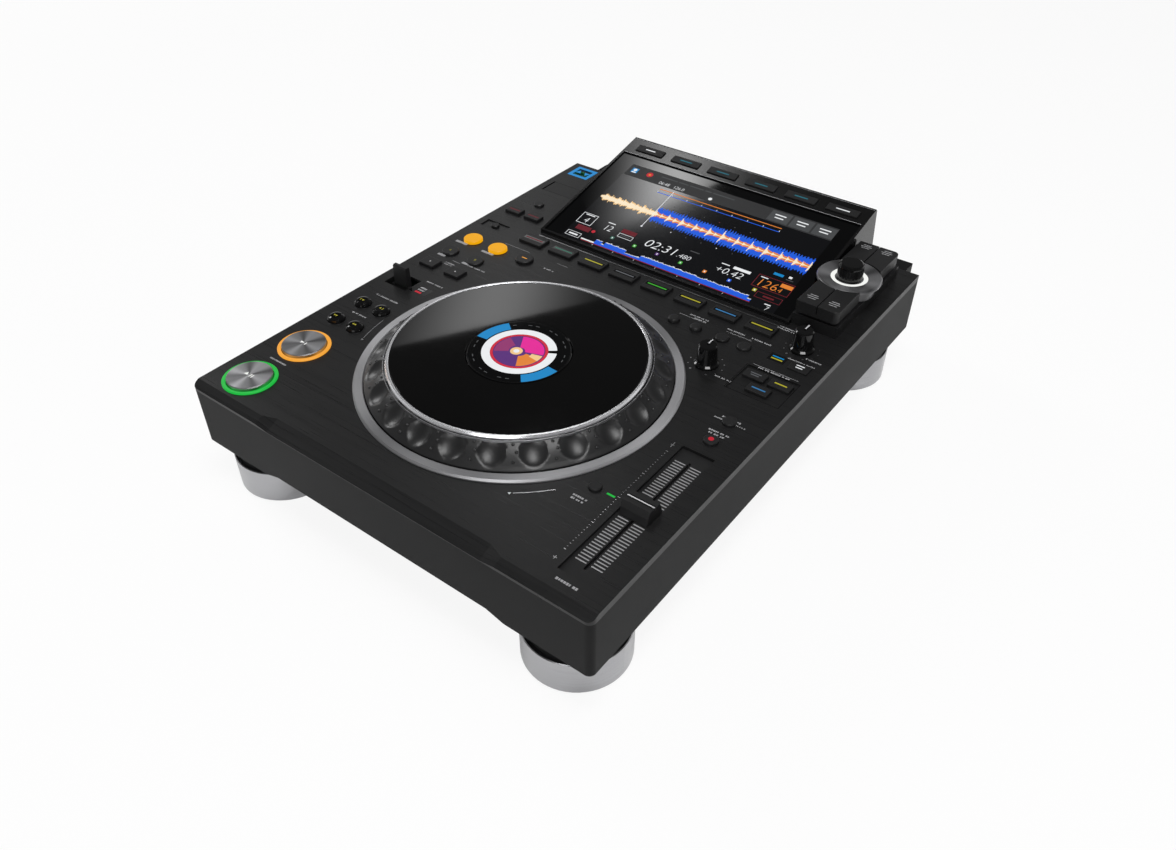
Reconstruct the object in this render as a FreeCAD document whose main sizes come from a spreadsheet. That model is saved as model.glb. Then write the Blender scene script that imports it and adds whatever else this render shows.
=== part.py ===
import FreeCAD, Part
import math
import os
import re
import Sketcher
from FreeCAD import Vector

# Tabletop player for disc jockeys: a flat console with a jog wheel, a raised touch screen,
# rows of keys, a tempo slider and a browse knob.
# +X is the player's right, +Y its back and +Z up. The origin is the centre of the
# footprint, on the table. Millimetres.

doc = FreeCAD.newDocument("player")
sheet = doc.addObject("Spreadsheet::Sheet", "dims")

SIZES = [
    # casing
    ("body_width", 329.0),
    ("overall_depth", 453.0),
    ("panel_depth", 418.0),
    ("overall_height", 118.0),
    ("panel_top", 83.0),
    ("panel_skin", 2.0),
    ("panel_rim", 5.0),
    ("skirt_bottom", 35.5),
    ("belly_rise", 3.8),
    ("case_wall", 2.2),
    ("corner_round", 4.5),
    ("step_inner", 89.0),
    ("step_outer", 99.5),
    ("belly_inner", 90.0),
    ("belly_outer", 103.0),
    ("end_slope_back", 6.0),
    ("end_slope_drop", 3.0),
    ("middle_slope_back", 10.0),
    ("middle_slope_drop", 4.5),
    # running and seating clearances
    ("key_gap", 0.3),
    ("seat_gap", 0.05),
    ("bearing_gap", 0.05),
    ("swing_gap", 0.8),
    # keys
    ("key_travel", 1.5),
    ("flange_lip", 1.3),
    ("flange_thick", 1.2),
    ("stem_radius", 1.5),
    ("stem_room", 0.2),
    ("cap_round", 0.5),
    ("dome_round", 2.6),
    ("small_dome_round", 2.0),
    ("dish_round", 1.1),
    ("board_thick", 1.6),
    ("board_top", 72.6),
    # play and cue
    ("transport_x", -137.0),
    ("play_y", -200.0),
    ("cue_y", -154.0),
    ("transport_radius", 15.2),
    ("light_radius", 18.2),
    ("transport_proud", 3.0),
    ("light_proud", 1.2),
    # left hand column
    ("pair_mid_x", -135.7),
    ("pair_pitch", 19.0),
    ("search_y", -117.5),
    ("track_y", -91.8),
    ("dome_radius", 6.3),
    ("dome_proud", 3.2),
    ("lever_x", -144.0),
    ("lever_y", -52.5),
    ("lever_slot_long", 22.0),
    ("lever_slot_deep", 17.0),
    ("lever_height", 13.5),
    ("lever_long", 13.0),
    ("lever_deep", 5.5),
    ("lever_pivot_depth", 6.0),
    ("column_mid_x", -132.7),
    ("column_pitch", 26.0),
    ("jump_y", -20.7),
    ("jump_long", 14.0),
    ("jump_deep", 11.0),
    ("beat_loop_y", 2.0),
    ("beat_loop_radius", 6.6),
    ("loop_mid_x", -131.2),
    ("loop_y", 27.0),
    ("loop_radius", 7.6),
    ("reloop_x", -90.5),
    ("reloop_radius", 7.0),
    ("round_proud", 1.8),
    ("lock_x", -146.0),
    ("lock_y", 55.8),
    ("lock_long", 23.5),
    ("lock_deep", 10.5),
    ("lock_radius", 3.4),
    ("lock_recess", 1.0),
    ("time_mid_x", -138.5),
    ("time_pitch", 20.0),
    ("time_y", 84.2),
    ("time_long", 14.5),
    ("time_deep", 8.5),
    ("beat_key_x", -139.8),
    ("beat_key_y", 105.5),
    ("beat_key_radius", 4.2),
    # media bay
    ("door_x", -142.0),
    ("door_y", 140.2),
    ("door_long", 31.0),
    ("door_deep", 17.5),
    ("door_pin_radius", 0.9),
    ("usb_x", -147.7),
    ("usb_y", 177.5),
    ("usb_frame_long", 20.0),
    ("usb_frame_deep", 16.0),
    ("usb_long", 14.6),
    ("usb_deep", 7.2),
    ("usb_tall", 9.0),
    ("usb_wall", 0.8),
    ("usb_tongue", 1.8),
    # hot cue row and the small keys before it
    ("hot_cue_x", 0.6),
    ("hot_cue_y", 54.3),
    ("hot_cue_pitch", 29.6),
    ("hot_cue_long", 21.5),
    ("hot_cue_deep", 12.5),
    ("pad_proud", 2.2),
    ("call_mid_x", 57.7),
    ("call_pitch", 18.4),
    ("call_y", 26.8),
    ("call_radius", 4.4),
    ("memory_mid_x", 96.8),
    ("memory_pitch", 17.4),
    ("memory_y", 27.6),
    ("memory_radius", 5.0),
    # right hand column
    ("feel_x", 95.0),
    ("feel_y", -4.5),
    ("release_x", 138.5),
    ("release_y", 49.5),
    ("knob_radius", 8.6),
    ("knob_top_radius", 6.4),
    ("knob_height", 16.0),
    ("knob_shaft", 3.0),
    ("knob_lift", 0.4),
    ("mode_x", 147.8),
    ("mode_y", 28.3),
    ("mode_long", 14.0),
    ("mode_deep", 9.5),
    ("sync_x", 137.6),
    ("sync_y", -3.0),
    ("sync_long", 39.0),
    ("sync_deep", 31.0),
    ("sync_sink", 0.8),
    ("sync_key_long", 15.5),
    ("sync_key_deep", 8.8),
    ("sync_offset_x", 9.4),
    ("sync_offset_y", 6.4),
    ("range_x", 139.3),
    ("range_y", -48.7),
    ("master_tempo_y", -71.0),
    ("small_round_radius", 4.8),
    ("reset_x", 107.5),
    ("reset_y", -146.6),
    ("reset_radius", 4.0),
    # tempo slider
    ("fader_x", 139.3),
    ("fader_y", -146.5),
    ("fader_travel", 100.0),
    ("fader_frame_long", 22.4),
    ("fader_frame_deep", 123.5),
    ("fader_sink", 2.2),
    ("fader_plate_thick", 1.6),
    ("fader_slot", 1.8),
    ("fader_cap_long", 19.0),
    ("fader_cap_deep", 15.0),
    ("fader_cap_tall", 9.5),
    ("fader_stem_long", 1.2),
    ("fader_stem_deep", 4.0),
    ("fader_unit_tall", 10.0),
    # jog wheel
    ("jog_y", -86.0),
    ("bezel_outer", 110.2),
    ("bezel_inner", 103.3),
    ("bezel_proud", 2.2),
    ("jog_outer", 102.7),
    ("jog_shoulder", 87.5),
    ("jog_trim_inner", 85.2),
    ("jog_proud", 16.4),
    ("jog_skin", 2.5),
    ("dimple_count", 24),
    ("dimple_mouth", 8.2),
    ("dimple_floor", 4.4),
    ("dimple_depth", 2.6),
    ("platter_gap", 0.3),
    ("platter_travel", 0.3),
    ("platter_thick", 2.2),
    ("window_radius", 35.0),
    ("hub_radius", 24.0),
    ("hub_wall", 4.0),
    ("hub_shelf", 74.0),
    # screen housing
    ("screen_mid_x", 4.0),
    ("screen_width", 226.0),
    ("screen_front_y", 70.0),
    ("screen_front_rise", 3.0),
    ("screen_top_y", 204.3),
    ("screen_rear_y", 213.0),
    ("screen_skin", 2.4),
    ("glass_length", 114.5),
    ("glass_side", 2.2),
    ("glass_front", 2.0),
    ("glass_thick", 2.0),
    ("glass_sink", 1.2),
    ("screen_key_count", 6),
    ("screen_key_pitch", 36.0),
    ("screen_key_mid_x", 5.0),
    ("screen_key_long", 26.5),
    ("screen_key_deep", 7.6),
    ("screen_key_run", 125.6),
    ("screen_key_proud", 0.9),
    ("screen_key_travel", 0.8),
    # browse knob and its four keys
    ("browse_x", 134.0),
    ("browse_y", 126.5),
    ("browse_ring_radius", 23.4),
    ("browse_ring_top", 103.0),
    ("browse_boss_top", 92.0),
    ("browse_well_radius", 13.5),
    ("browse_well_depth", 2.0),
    ("browse_knob_radius", 9.3),
    ("browse_knob_top", 113.5),
    ("browse_shaft_radius", 3.0),
    ("browse_travel", 0.6),
    ("browse_grooves", 24),
    ("selector_half_long", 15.8),
    ("selector_half_deep", 52.5),
    ("selector_slot", 0.8),
    ("selector_top", 103.2),
    ("selector_round", 4.0),
    # feet
    ("foot_x", 129.0),
    ("foot_front_y", -192.6),
    ("foot_rear_y", 157.5),
    ("foot_radius", 33.8),
    ("foot_top", 27.0),
    ("foot_neck_radius", 31.0),
    ("foot_lift", 1.0),
    ("pad_radius", 30.0),
    ("pad_recess", 2.0),
    ("foot_round", 1.5),
    # rear panel and what it carries
    ("rear_half_width", 150.0),
    ("rear_low", 41.0),
    ("rear_high", 75.8),
    ("jack_length", 8.5),
    ("jack_radius", 4.15),
    ("jack_flange", 6.0),
    ("jack_height", 58.0),
    ("jack_pitch", 16.0),
    ("jack_mid_x", -86.0),
    ("jack_count", 3),
    ("inlet_x", 96.0),
    ("inlet_wide", 27.0),
    ("inlet_tall", 20.0),
    ("inlet_deep", 17.0),
    ("inlet_wall", 1.6),
    ("network_x", -30.0),
    ("network_wide", 16.0),
    ("network_tall", 13.5),
    ("network_deep", 15.0),
    ("network_wall", 1.4),
    ("computer_x", 8.0),
    ("computer_wide", 12.0),
    ("computer_tall", 11.0),
    ("switch_x", 131.0),
    ("switch_wide", 12.5),
    ("switch_tall", 19.0),
    ("switch_proud", 2.6),
    ("switch_pin", 1.5),
    # inside
    ("pillar_radius", 3.5),
    ("main_board_z", 52.0),
    ("main_board_half", 62.0),
    ("supply_tall", 24.0),
]

for row, (alias, number) in enumerate(SIZES, start=1):
    sheet.set(f"A{row}", alias)
    sheet.set(f"B{row}", str(number))
    sheet.setAlias(f"B{row}", alias)
doc.recompute()

ALIASES = {alias for alias, number in SIZES}
PARTS = []


class Sizes:
    def __getattr__(self, alias):
        return float(sheet.get(alias))


d = Sizes()


def bound(text):
    # plain names in an expression become references to the sheet
    return re.sub(r"[a-z][a-z0-9_]*", lambda m: f"dims.{m[0]}" if m[0] in ALIASES else m[0], str(text))


def put(thing, spot):
    for axis, text in zip("xyz", spot):
        thing.setExpression(f"Placement.Base.{axis}", bound(text))
    return thing


def node(thing, label):
    thing.Label = label
    PARTS.append(thing)
    return thing


# plain solids with every side bound to the sheet

def block(name, low, high):
    solid = doc.addObject("Part::Box", name)
    for side, start, end in zip(("Length", "Width", "Height"), low, high):
        solid.setExpression(side, bound(f"({end}) - ({start})"))
    return put(solid, low)


def block_at(name, middle, wide, deep, low, high):
    x, y = middle
    return block(name, (f"{x} - ({wide})/2", f"{y} - ({deep})/2", low),
                 (f"{x} + ({wide})/2", f"{y} + ({deep})/2", high))


def drum(name, middle, radius, low, high):
    solid = doc.addObject("Part::Cylinder", name)
    solid.setExpression("Radius", bound(radius))
    solid.setExpression("Height", bound(f"({high}) - ({low})"))
    return put(solid, (middle[0], middle[1], low))


def lying_drum(name, middle, radius, length, along):
    # a cylinder centred on a point, along X or Y
    solid = doc.addObject("Part::Cylinder", name)
    solid.setExpression("Radius", bound(radius))
    solid.setExpression("Height", bound(length))
    x, y, z = middle
    if along == "x":
        solid.Placement.Rotation = FreeCAD.Rotation(Vector(0, 1, 0), 90)
        return put(solid, (f"{x} - ({length})/2", y, z))
    solid.Placement.Rotation = FreeCAD.Rotation(Vector(1, 0, 0), -90)
    return put(solid, (x, f"{y} - ({length})/2", z))


def joined(name, pieces):
    if len(pieces) == 1:
        return pieces[0]
    solid = doc.addObject("Part::MultiFuse", name)
    solid.Shapes = pieces
    solid.Refine = True
    return solid


def cut(name, base, tools):
    solid = doc.addObject("Part::Cut", name)
    solid.Base = base
    solid.Tool = joined(name + "_tools", tools)
    solid.Refine = True
    return solid


def common(name, first, second):
    solid = doc.addObject("Part::Common", name)
    solid.Base = first
    solid.Tool = second
    return solid


def group(name, pieces):
    # separate solids that share one node
    solid = doc.addObject("Part::Compound", name)
    solid.Links = pieces
    return solid


# sketched solids

def new_body(name):
    return doc.addObject("PartDesign::Body", name)


def plane_of(body, role):
    return next(item for item in body.Origin.OriginFeatures if item.Role == role)


def sketch_on(body, role, name):
    sketch = body.newObject("Sketcher::SketchObject", name)
    sketch.AttachmentSupport = [(plane_of(body, role), "")]
    sketch.MapMode = "FlatFace"
    return sketch


def draw_rectangle(sketch, wide, deep):
    corners = [Vector(-5, -4), Vector(5, -4), Vector(5, 4), Vector(-5, 4)]
    for start, end in zip(corners, corners[1:] + corners[:1]):
        sketch.addGeometry(Part.LineSegment(start, end))
    for side in range(4):
        sketch.addConstraint(Sketcher.Constraint("Coincident", side, 2, (side + 1) % 4, 1))
        sketch.addConstraint(Sketcher.Constraint("Horizontal" if side % 2 == 0 else "Vertical", side))
    sketch.addConstraint(Sketcher.Constraint("Symmetric", 0, 1, 2, 1, -1, 1))
    for title, side, text in (("Wide", 0, wide), ("Deep", 1, deep)):
        index = sketch.addConstraint(Sketcher.Constraint("Distance", side, 9.0))
        sketch.renameConstraint(index, title)
        sketch.setExpression(f"Constraints.{title}", bound(text))


def draw_circle(sketch, radius):
    sketch.addGeometry(Part.Circle(Vector(0, 0), Vector(0, 0, 1), 5))
    sketch.addConstraint(Sketcher.Constraint("Coincident", 0, 3, -1, 1))
    index = sketch.addConstraint(Sketcher.Constraint("Radius", 0, 5))
    sketch.renameConstraint(index, "Radius")
    sketch.setExpression("Constraints.Radius", bound(radius))


def pad(body, name, outline, low, high):
    sketch = sketch_on(body, "XY_Plane", name + "_outline")
    if len(outline) == 2:
        draw_rectangle(sketch, *outline)
    else:
        draw_circle(sketch, *outline)
    sketch.setExpression("AttachmentOffset.Base.z", bound(low))
    feature = body.newObject("PartDesign::Pad", name)
    feature.Profile = sketch
    feature.setExpression("Length", bound(f"({high}) - ({low})"))
    sketch.Visibility = False
    return feature


def round_edges(body, feature, radius, wanted):
    doc.recompute()
    names = [f"Edge{i}" for i, edge in enumerate(feature.Shape.Edges, start=1) if wanted(edge)]
    fillet = body.newObject("PartDesign::Fillet", feature.Name + "_round")
    fillet.Base = (feature, names)
    fillet.setExpression("Radius", bound(radius))
    return fillet


def level_at(height):
    def wanted(edge):
        box = edge.BoundBox
        return abs(box.ZMin - height) < 1e-4 and abs(box.ZMax - height) < 1e-4
    return wanted


def turned(name, outline, middle):
    # a revolved solid: the outline is (radius, height) points in order
    body = new_body(name)
    sketch = sketch_on(body, "XZ_Plane", name + "_outline")
    points = [Vector(radius, height) for radius, height in outline]
    for start, end in zip(points, points[1:] + points[:1]):
        sketch.addGeometry(Part.LineSegment(start, end))
    turn = body.newObject("PartDesign::Revolution", name + "_turn")
    turn.Profile = sketch
    turn.ReferenceAxis = (sketch, ["V_Axis"])
    turn.Angle = 360
    sketch.Visibility = False
    put(body, middle)
    return body


def prism(name, outline, role, start, end):
    # a straight bar: the outline is drawn on an origin plane and padded along its normal
    body = new_body(name)
    sketch = sketch_on(body, role, name + "_outline")
    points = [Vector(*point) for point in outline]
    for first, second in zip(points, points[1:] + points[:1]):
        sketch.addGeometry(Part.LineSegment(first, second))
    bar = body.newObject("PartDesign::Pad", name + "_pad")
    bar.Profile = sketch
    bar.setExpression("Length", bound(f"({end}) - ({start})"))
    sketch.Visibility = False
    return body, bar


FRONT = "-overall_depth/2"
BACK = "-overall_depth/2 + panel_depth"
front_y = -d.overall_depth / 2
back_y = front_y + d.panel_depth
UNDERSIDE = "panel_top - panel_skin"
KEY_LOW = "board_top + key_travel + stem_room"
FLANGE_TOP = f"{UNDERSIDE} - seat_gap"
FLANGE_LOW = f"{FLANGE_TOP} - flange_thick"

panel_holes = []


def key_hole(name, middle, outline):
    if len(outline) == 2:
        wide, deep = outline
        hole = block_at(name + "_hole", middle, f"{wide} + 2*key_gap", f"{deep} + 2*key_gap",
                        "panel_top - 20", "panel_top + 20")
    else:
        hole = drum(name + "_hole", middle, f"{outline[0]} + key_gap", "panel_top - 20", "panel_top + 20")
    panel_holes.append(hole)


def round_key(name, middle, radius, proud, crown):
    # stem, flange and a cap whose crown is a quarter turn in short steps
    reach = float(sheet.get(radius))
    top = d.panel_top + float(sheet.get(proud))
    round_off = float(sheet.get(crown))
    flange_top = d.panel_top - d.panel_skin - d.seat_gap
    flange_low = flange_top - d.flange_thick
    low = d.board_top + d.key_travel + d.stem_room
    outline = [(0, low), (d.stem_radius, low), (d.stem_radius, flange_low),
               (reach + d.flange_lip, flange_low), (reach + d.flange_lip, flange_top), (reach, flange_top)]
    steps = 1 + int(round_off > 1)*2
    for i in range(steps + 1):
        turn = math.pi/2 * i/steps
        outline.append((reach - round_off*(1 - math.cos(turn)), top - round_off*(1 - math.sin(turn))))
    outline.append((0, top))
    key_hole(name, middle, (radius,))
    return turned(name, outline, (middle[0], middle[1], 0))


def push_key(name, middle, outline, proud, crown="cap_round"):
    # cap through the panel, flange under it and a stem towards the switch
    if len(outline) == 1:
        return round_key(name, middle, outline[0], proud, crown)
    body = new_body(name)
    stem = pad(body, name + "_stem", ("stem_radius",), KEY_LOW, FLANGE_LOW)
    wide, deep = outline
    flange = (f"{wide} + 2*flange_lip", f"{deep} + 2*flange_lip")
    pad(body, name + "_flange", flange, FLANGE_LOW, FLANGE_TOP)
    cap = pad(body, name + "_cap", outline, FLANGE_TOP, f"panel_top + {proud}")
    round_edges(body, cap, crown, level_at(d.panel_top + float(sheet.get(proud))))
    put(body, (middle[0], middle[1], 0))
    key_hole(name, middle, outline)
    return body


def key_pair(name, mid_x, pitch, y, outline, proud, bar="1.6", crown="cap_round"):
    # two caps moulded on one rocker bar
    pieces = []
    for side in (-1, 1):
        spot = (f"{mid_x} + ({side})*{pitch}/2", y)
        pieces.append(push_key(f"{name}_{'left' if side < 0 else 'right'}", spot, outline, proud, crown))
    link = block_at(name + "_bar", (mid_x, y), pitch, bar, FLANGE_LOW, FLANGE_TOP)
    return joined(name, pieces + [link])


# casing

def slope_cutter():
    # front slope: shallow at the ends, deeper in the middle, with slanting facets between
    stations = []
    reach = d.body_width / 2 + 1
    for x, back, drop in ((reach, d.end_slope_back, d.end_slope_drop),
                          (d.step_outer, d.end_slope_back, d.end_slope_drop),
                          (d.step_inner, d.middle_slope_back, d.middle_slope_drop)):
        stations.append((x, back, drop))
    stations = [(-x, back, drop) for x, back, drop in stations] + stations[::-1]
    over = 1.0
    faces = []
    for x, back, drop in stations:
        rise = drop / back * over
        corners = [Vector(x, front_y - over, d.panel_top - drop - rise),
                   Vector(x, front_y + back + over, d.panel_top + rise),
                   Vector(x, front_y - over, d.panel_top + rise)]
        faces.append(Part.makePolygon(corners + corners[:1]))
    cutter = doc.addObject("Part::Feature", "front_slope_cutter")
    cutter.Shape = Part.makeLoft(faces, True, True)
    return cutter


def footprint(name, low, high, inset="0"):
    # the rounded outline of the casing as an upright block
    body = new_body(name)
    size = (f"body_width - 2*({inset})", f"panel_depth - 2*({inset})")
    feature = pad(body, name + "_block", size, low, high)

    def front_corner(edge):
        box = edge.BoundBox
        return box.ZLength > 1 and box.XLength < 1e-4 and box.YLength < 1e-4 and box.YMax < 0

    round_edges(body, feature, f"corner_round - 0.6*({inset})", front_corner)
    return put(body, (0, f"({FRONT} + {BACK})/2", 0))


def belly_points(wall, top):
    half = d.body_width / 2 - wall
    low = d.skirt_bottom + wall
    high = low + d.belly_rise
    inner = d.belly_inner + 0.3 * wall
    outer = d.belly_outer + 0.3 * wall
    return [(-half, low), (-outer, low), (-inner, high), (inner, high), (outer, low), (half, low),
            (half, top), (-half, top)]


def lower_case():
    rim_low = d.panel_top - d.panel_rim
    shell, bar = prism("case_section", belly_points(0, rim_low), "XZ_Plane", 0, "panel_depth")
    bar.Reversed = False
    put(shell, (0, BACK, 0))
    hollow, bar = prism("case_hollow", belly_points(d.case_wall, rim_low + 5), "XZ_Plane", 0,
                        "panel_depth - 2*case_wall")
    put(hollow, (0, f"{BACK} - case_wall", 0))
    rounded = common("case_rounded", shell, footprint("case_block", "skirt_bottom - 1", "panel_top"))
    tools = [hollow, rear_opening()]
    tub = cut("case_tub", rounded, tools)
    skirt_floor = "skirt_bottom + case_wall - 0.5"
    floor = f"{skirt_floor} + belly_rise"
    extras = []
    for tag, x in (("left", "-foot_x"), ("right", "foot_x")):
        for end, y in (("front", "foot_front_y"), ("rear", "foot_rear_y")):
            extras.append(drum(f"neck_{tag}_{end}", (x, y), "foot_neck_radius", "foot_top",
                               "skirt_bottom + case_wall"))
            extras.append(drum(f"tie_{tag}_{end}", (x, y), "pillar_radius", "foot_top",
                               "board_top - board_thick"))
    for tag, x, y, low in (("a", "-transport_x - 7", "60", skirt_floor), ("b", "-60", "60", floor),
                           ("c", "60", "60", floor), ("d", "transport_x + 5", "-110", skirt_floor),
                           ("e", "transport_x + 5", "50", skirt_floor)):
        extras.append(drum(f"pillar_{tag}", (x, y), "pillar_radius", low, "board_top - board_thick"))
    for tag, x in (("left", "-main_board_half + 6"), ("right", "main_board_half - 6")):
        for end, y in (("front", "88"), ("rear", "170")):
            extras.append(drum(f"board_post_{tag}_{end}", (x, y), "pillar_radius", floor, "main_board_z"))
    return node(joined("lower_case", [tub] + extras), "lower_case")


def rear_opening():
    return block("rear_opening", ("-rear_half_width + 6", f"{BACK} - case_wall - 2", "rear_low + 4"),
                 ("rear_half_width - 6", f"{BACK} + 2", "rear_high - 4"))


def feet():
    outline = [(0, d.foot_lift + d.pad_recess), (d.pad_radius + d.key_gap, d.foot_lift + d.pad_recess),
               (d.pad_radius + d.key_gap, d.foot_lift), (d.foot_radius - d.foot_round, d.foot_lift),
               (d.foot_radius, d.foot_lift + d.foot_round), (d.foot_radius, d.foot_top - 0.5),
               (d.foot_radius - 0.5, d.foot_top), (0, d.foot_top)]
    cups, pads = [], []
    for tag, x in (("left", "-foot_x"), ("right", "foot_x")):
        for end, y in (("front", "foot_front_y"), ("rear", "foot_rear_y")):
            cups.append(turned(f"foot_{tag}_{end}", outline, (x, y, 0)))
            pads.append(drum(f"pad_{tag}_{end}", (x, y), "pad_radius", "0", "foot_lift + pad_recess"))
    node(group("feet", cups), "feet")
    node(group("foot_pads", pads), "foot_pads")


def top_panel():
    plate = footprint("panel_block", "panel_top - panel_rim", "panel_top")
    under = block("panel_under", ("-body_width/2 + case_wall", f"{FRONT} + middle_slope_back + 2",
                                  "panel_top - panel_rim - 1"),
                  ("body_width/2 - case_wall", f"{BACK} - case_wall", UNDERSIDE))
    boss = selector_boss()
    cheeks = lever_cheeks()
    hinge = door_rib()
    base = joined("panel_body", [cut("panel_shell", plate, [slope_cutter(), under]), boss, hinge] + cheeks)
    holes = list(panel_holes)
    holes.append(drum("jog_hole", ("0", "jog_y"), "bezel_inner + 0.8", "panel_top - 20", "panel_top + 20"))
    holes.append(block_at("fader_hole", ("fader_x", "fader_y"), "fader_frame_long", "fader_frame_deep",
                          "panel_top - 20", "panel_top + 20"))
    holes.append(block_at("lever_hole", ("lever_x", "lever_y"), "lever_slot_long", "lever_slot_deep",
                          "panel_top - panel_skin - 0.5", "panel_top + 20"))
    holes.append(block_at("usb_hole", ("usb_x", "usb_y"), "usb_long + 0.2", "usb_deep + 0.2",
                          "panel_top - 20", "panel_top + 20"))
    holes.append(block_at("usb_recess", ("usb_x", "usb_y"), "usb_frame_long", "usb_frame_deep",
                          "panel_top - 0.8", "panel_top + 20"))
    holes.append(block_at("sync_recess", ("sync_x", "sync_y"), "sync_long", "sync_deep",
                          "panel_top - sync_sink", "panel_top + 20"))
    holes.append(block_at("lock_recess_cut", ("lock_x", "lock_y"), "lock_long", "lock_deep",
                          "panel_top - lock_recess", "panel_top + 20"))
    holes.append(door_opening())
    return node(cut("top_panel", base, holes), "top_panel")


def light_rings():
    rings = []
    for tag, y in (("play", "play_y"), ("cue", "cue_y")):
        outline = [(d.transport_radius + d.key_gap, d.panel_top), (d.light_radius, d.panel_top),
                   (d.light_radius, d.panel_top + d.light_proud - 0.4),
                   (d.light_radius - 0.4, d.panel_top + d.light_proud),
                   (d.transport_radius + d.key_gap, d.panel_top + d.light_proud)]
        rings.append(turned(f"{tag}_light", outline, ("transport_x", y, 0)))
    well = d.browse_ring_top - d.browse_well_depth
    outline = [(d.browse_knob_radius + 1.2, well), (d.browse_well_radius - 0.1, well),
               (d.browse_well_radius - 0.1, well + 0.8), (d.browse_knob_radius + 1.2, well + 0.8)]
    rings.append(turned("browse_light", outline, ("browse_x", "browse_y", 0)))
    return node(group("light_rings", rings), "light_rings")


# keys

def transport_keys():
    for name, y in (("play_button", "play_y"), ("cue_button", "cue_y")):
        node(push_key(name, ("transport_x", y), ("transport_radius",), "transport_proud"), name)
        panel_holes.append(drum(name + "_room", ("transport_x", y), "transport_radius + flange_lip + key_gap",
                                "panel_top - 20", UNDERSIDE))


def left_keys():
    for name, y in (("search_keys", "search_y"), ("track_keys", "track_y")):
        node(key_pair(name, "pair_mid_x", "pair_pitch", y, ("dome_radius",), "dome_proud", crown="dome_round"), name)
    node(key_pair("beat_jump_keys", "column_mid_x", "column_pitch", "jump_y", ("jump_long", "jump_deep"),
                  "pad_proud"), "beat_jump_keys")
    node(key_pair("beat_loop_keys", "column_mid_x", "column_pitch", "beat_loop_y", ("beat_loop_radius",),
                  "round_proud"), "beat_loop_keys")
    node(key_pair("loop_keys", "loop_mid_x", "column_pitch", "loop_y", ("loop_radius",), "pad_proud"),
         "loop_keys")
    node(push_key("reloop_key", ("reloop_x", "loop_y"), ("reloop_radius",), "pad_proud"), "reloop_key")
    node(key_pair("time_keys", "time_mid_x", "time_pitch", "time_y", ("time_long", "time_deep"),
                  "pad_proud"), "time_keys")
    node(push_key("beat_key", ("beat_key_x", "beat_key_y"), ("beat_key_radius",), "round_proud"), "beat_key")
    node(push_key("lock_key", ("lock_x", "lock_y"), ("lock_radius",), "light_proud"), "lock_key")


def hot_cue_keys():
    for place in range(8):
        name = f"hot_cue_key_{place + 1}"
        x = f"hot_cue_x + ({place - 3.5})*hot_cue_pitch"
        node(push_key(name, (x, "hot_cue_y"), ("hot_cue_long", "hot_cue_deep"), "pad_proud"), name)


def call_and_memory_keys():
    node(key_pair("call_keys", "call_mid_x", "call_pitch", "call_y", ("call_radius",), "dome_proud",
                  crown="small_dome_round"), "call_keys")
    node(key_pair("memory_keys", "memory_mid_x", "memory_pitch", "memory_y", ("memory_radius",),
                  "round_proud", crown="dish_round"), "memory_keys")


def right_keys():
    node(push_key("jog_mode_key", ("mode_x", "mode_y"), ("mode_long", "mode_deep"), "light_proud"),
         "jog_mode_key")
    for name, side_x, side_y in (("beat_sync_key", -1, 1), ("master_key", 1, 1), ("key_sync_key", 0, -1)):
        spot = (f"sync_x + ({side_x})*sync_offset_x", f"sync_y + ({side_y})*sync_offset_y")
        node(push_key(name, spot, ("sync_key_long", "sync_key_deep"), "light_proud"), name)
    node(push_key("tempo_range_key", ("range_x", "range_y"), ("small_round_radius",), "round_proud"),
         "tempo_range_key")
    node(push_key("master_tempo_key", ("range_x", "master_tempo_y"), ("small_round_radius",),
                  "round_proud"), "master_tempo_key")
    node(push_key("tempo_reset_key", ("reset_x", "reset_y"), ("reset_radius",), "round_proud"),
         "tempo_reset_key")


# direction lever on a cross pin between two cheeks under the panel

def lever_cheeks():
    cheeks = []
    low = "panel_top - lever_pivot_depth - 4"
    for side in (-1, 1):
        x = f"lever_x + ({side})*(lever_slot_long/2 + 1.5)"
        plate = block_at(f"cheek_{side + 1}", (x, "lever_y"), "3", "9", low, UNDERSIDE)
        bore = lying_drum(f"cheek_bore_{side + 1}", (x, "lever_y", "panel_top - lever_pivot_depth"),
                          "1.6 + bearing_gap", "4", "x")
        cheeks.append(cut(f"cheek_cut_{side + 1}", plate, [bore]))
    return cheeks


def direction_lever():
    pivot = "panel_top - lever_pivot_depth"
    pin = lying_drum("lever_pin", ("lever_x", "lever_y", pivot), "1.6", "lever_slot_long + 5", "x")
    barrel = lying_drum("lever_barrel", ("lever_x", "lever_y", pivot), "3.4", "lever_long + 3", "x")
    tall = d.lever_height + d.lever_pivot_depth
    half = d.lever_deep / 2
    outline = [(-half, 0), (half, 0), (half - 0.3, tall * 0.45), (half - 0.7, tall - 0.9),
               (half - 1.6, tall), (-half + 1.6, tall), (-half + 0.7, tall - 0.9), (-half + 0.3, tall * 0.45)]
    paddle, bar = prism("lever_paddle", outline, "YZ_Plane", 0, "lever_long")
    put(paddle, ("lever_x - lever_long/2", "lever_y", pivot))
    return node(joined("direction_lever", [paddle, pin, barrel]), "direction_lever")


# card door with a hinge barrel along its left edge

def door_opening():
    return block_at("door_opening", ("door_x", "door_y"), "door_long + 2*key_gap",
                    "door_deep + 2*key_gap", f"{UNDERSIDE} - 0.5", "panel_top + 20")


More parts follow.
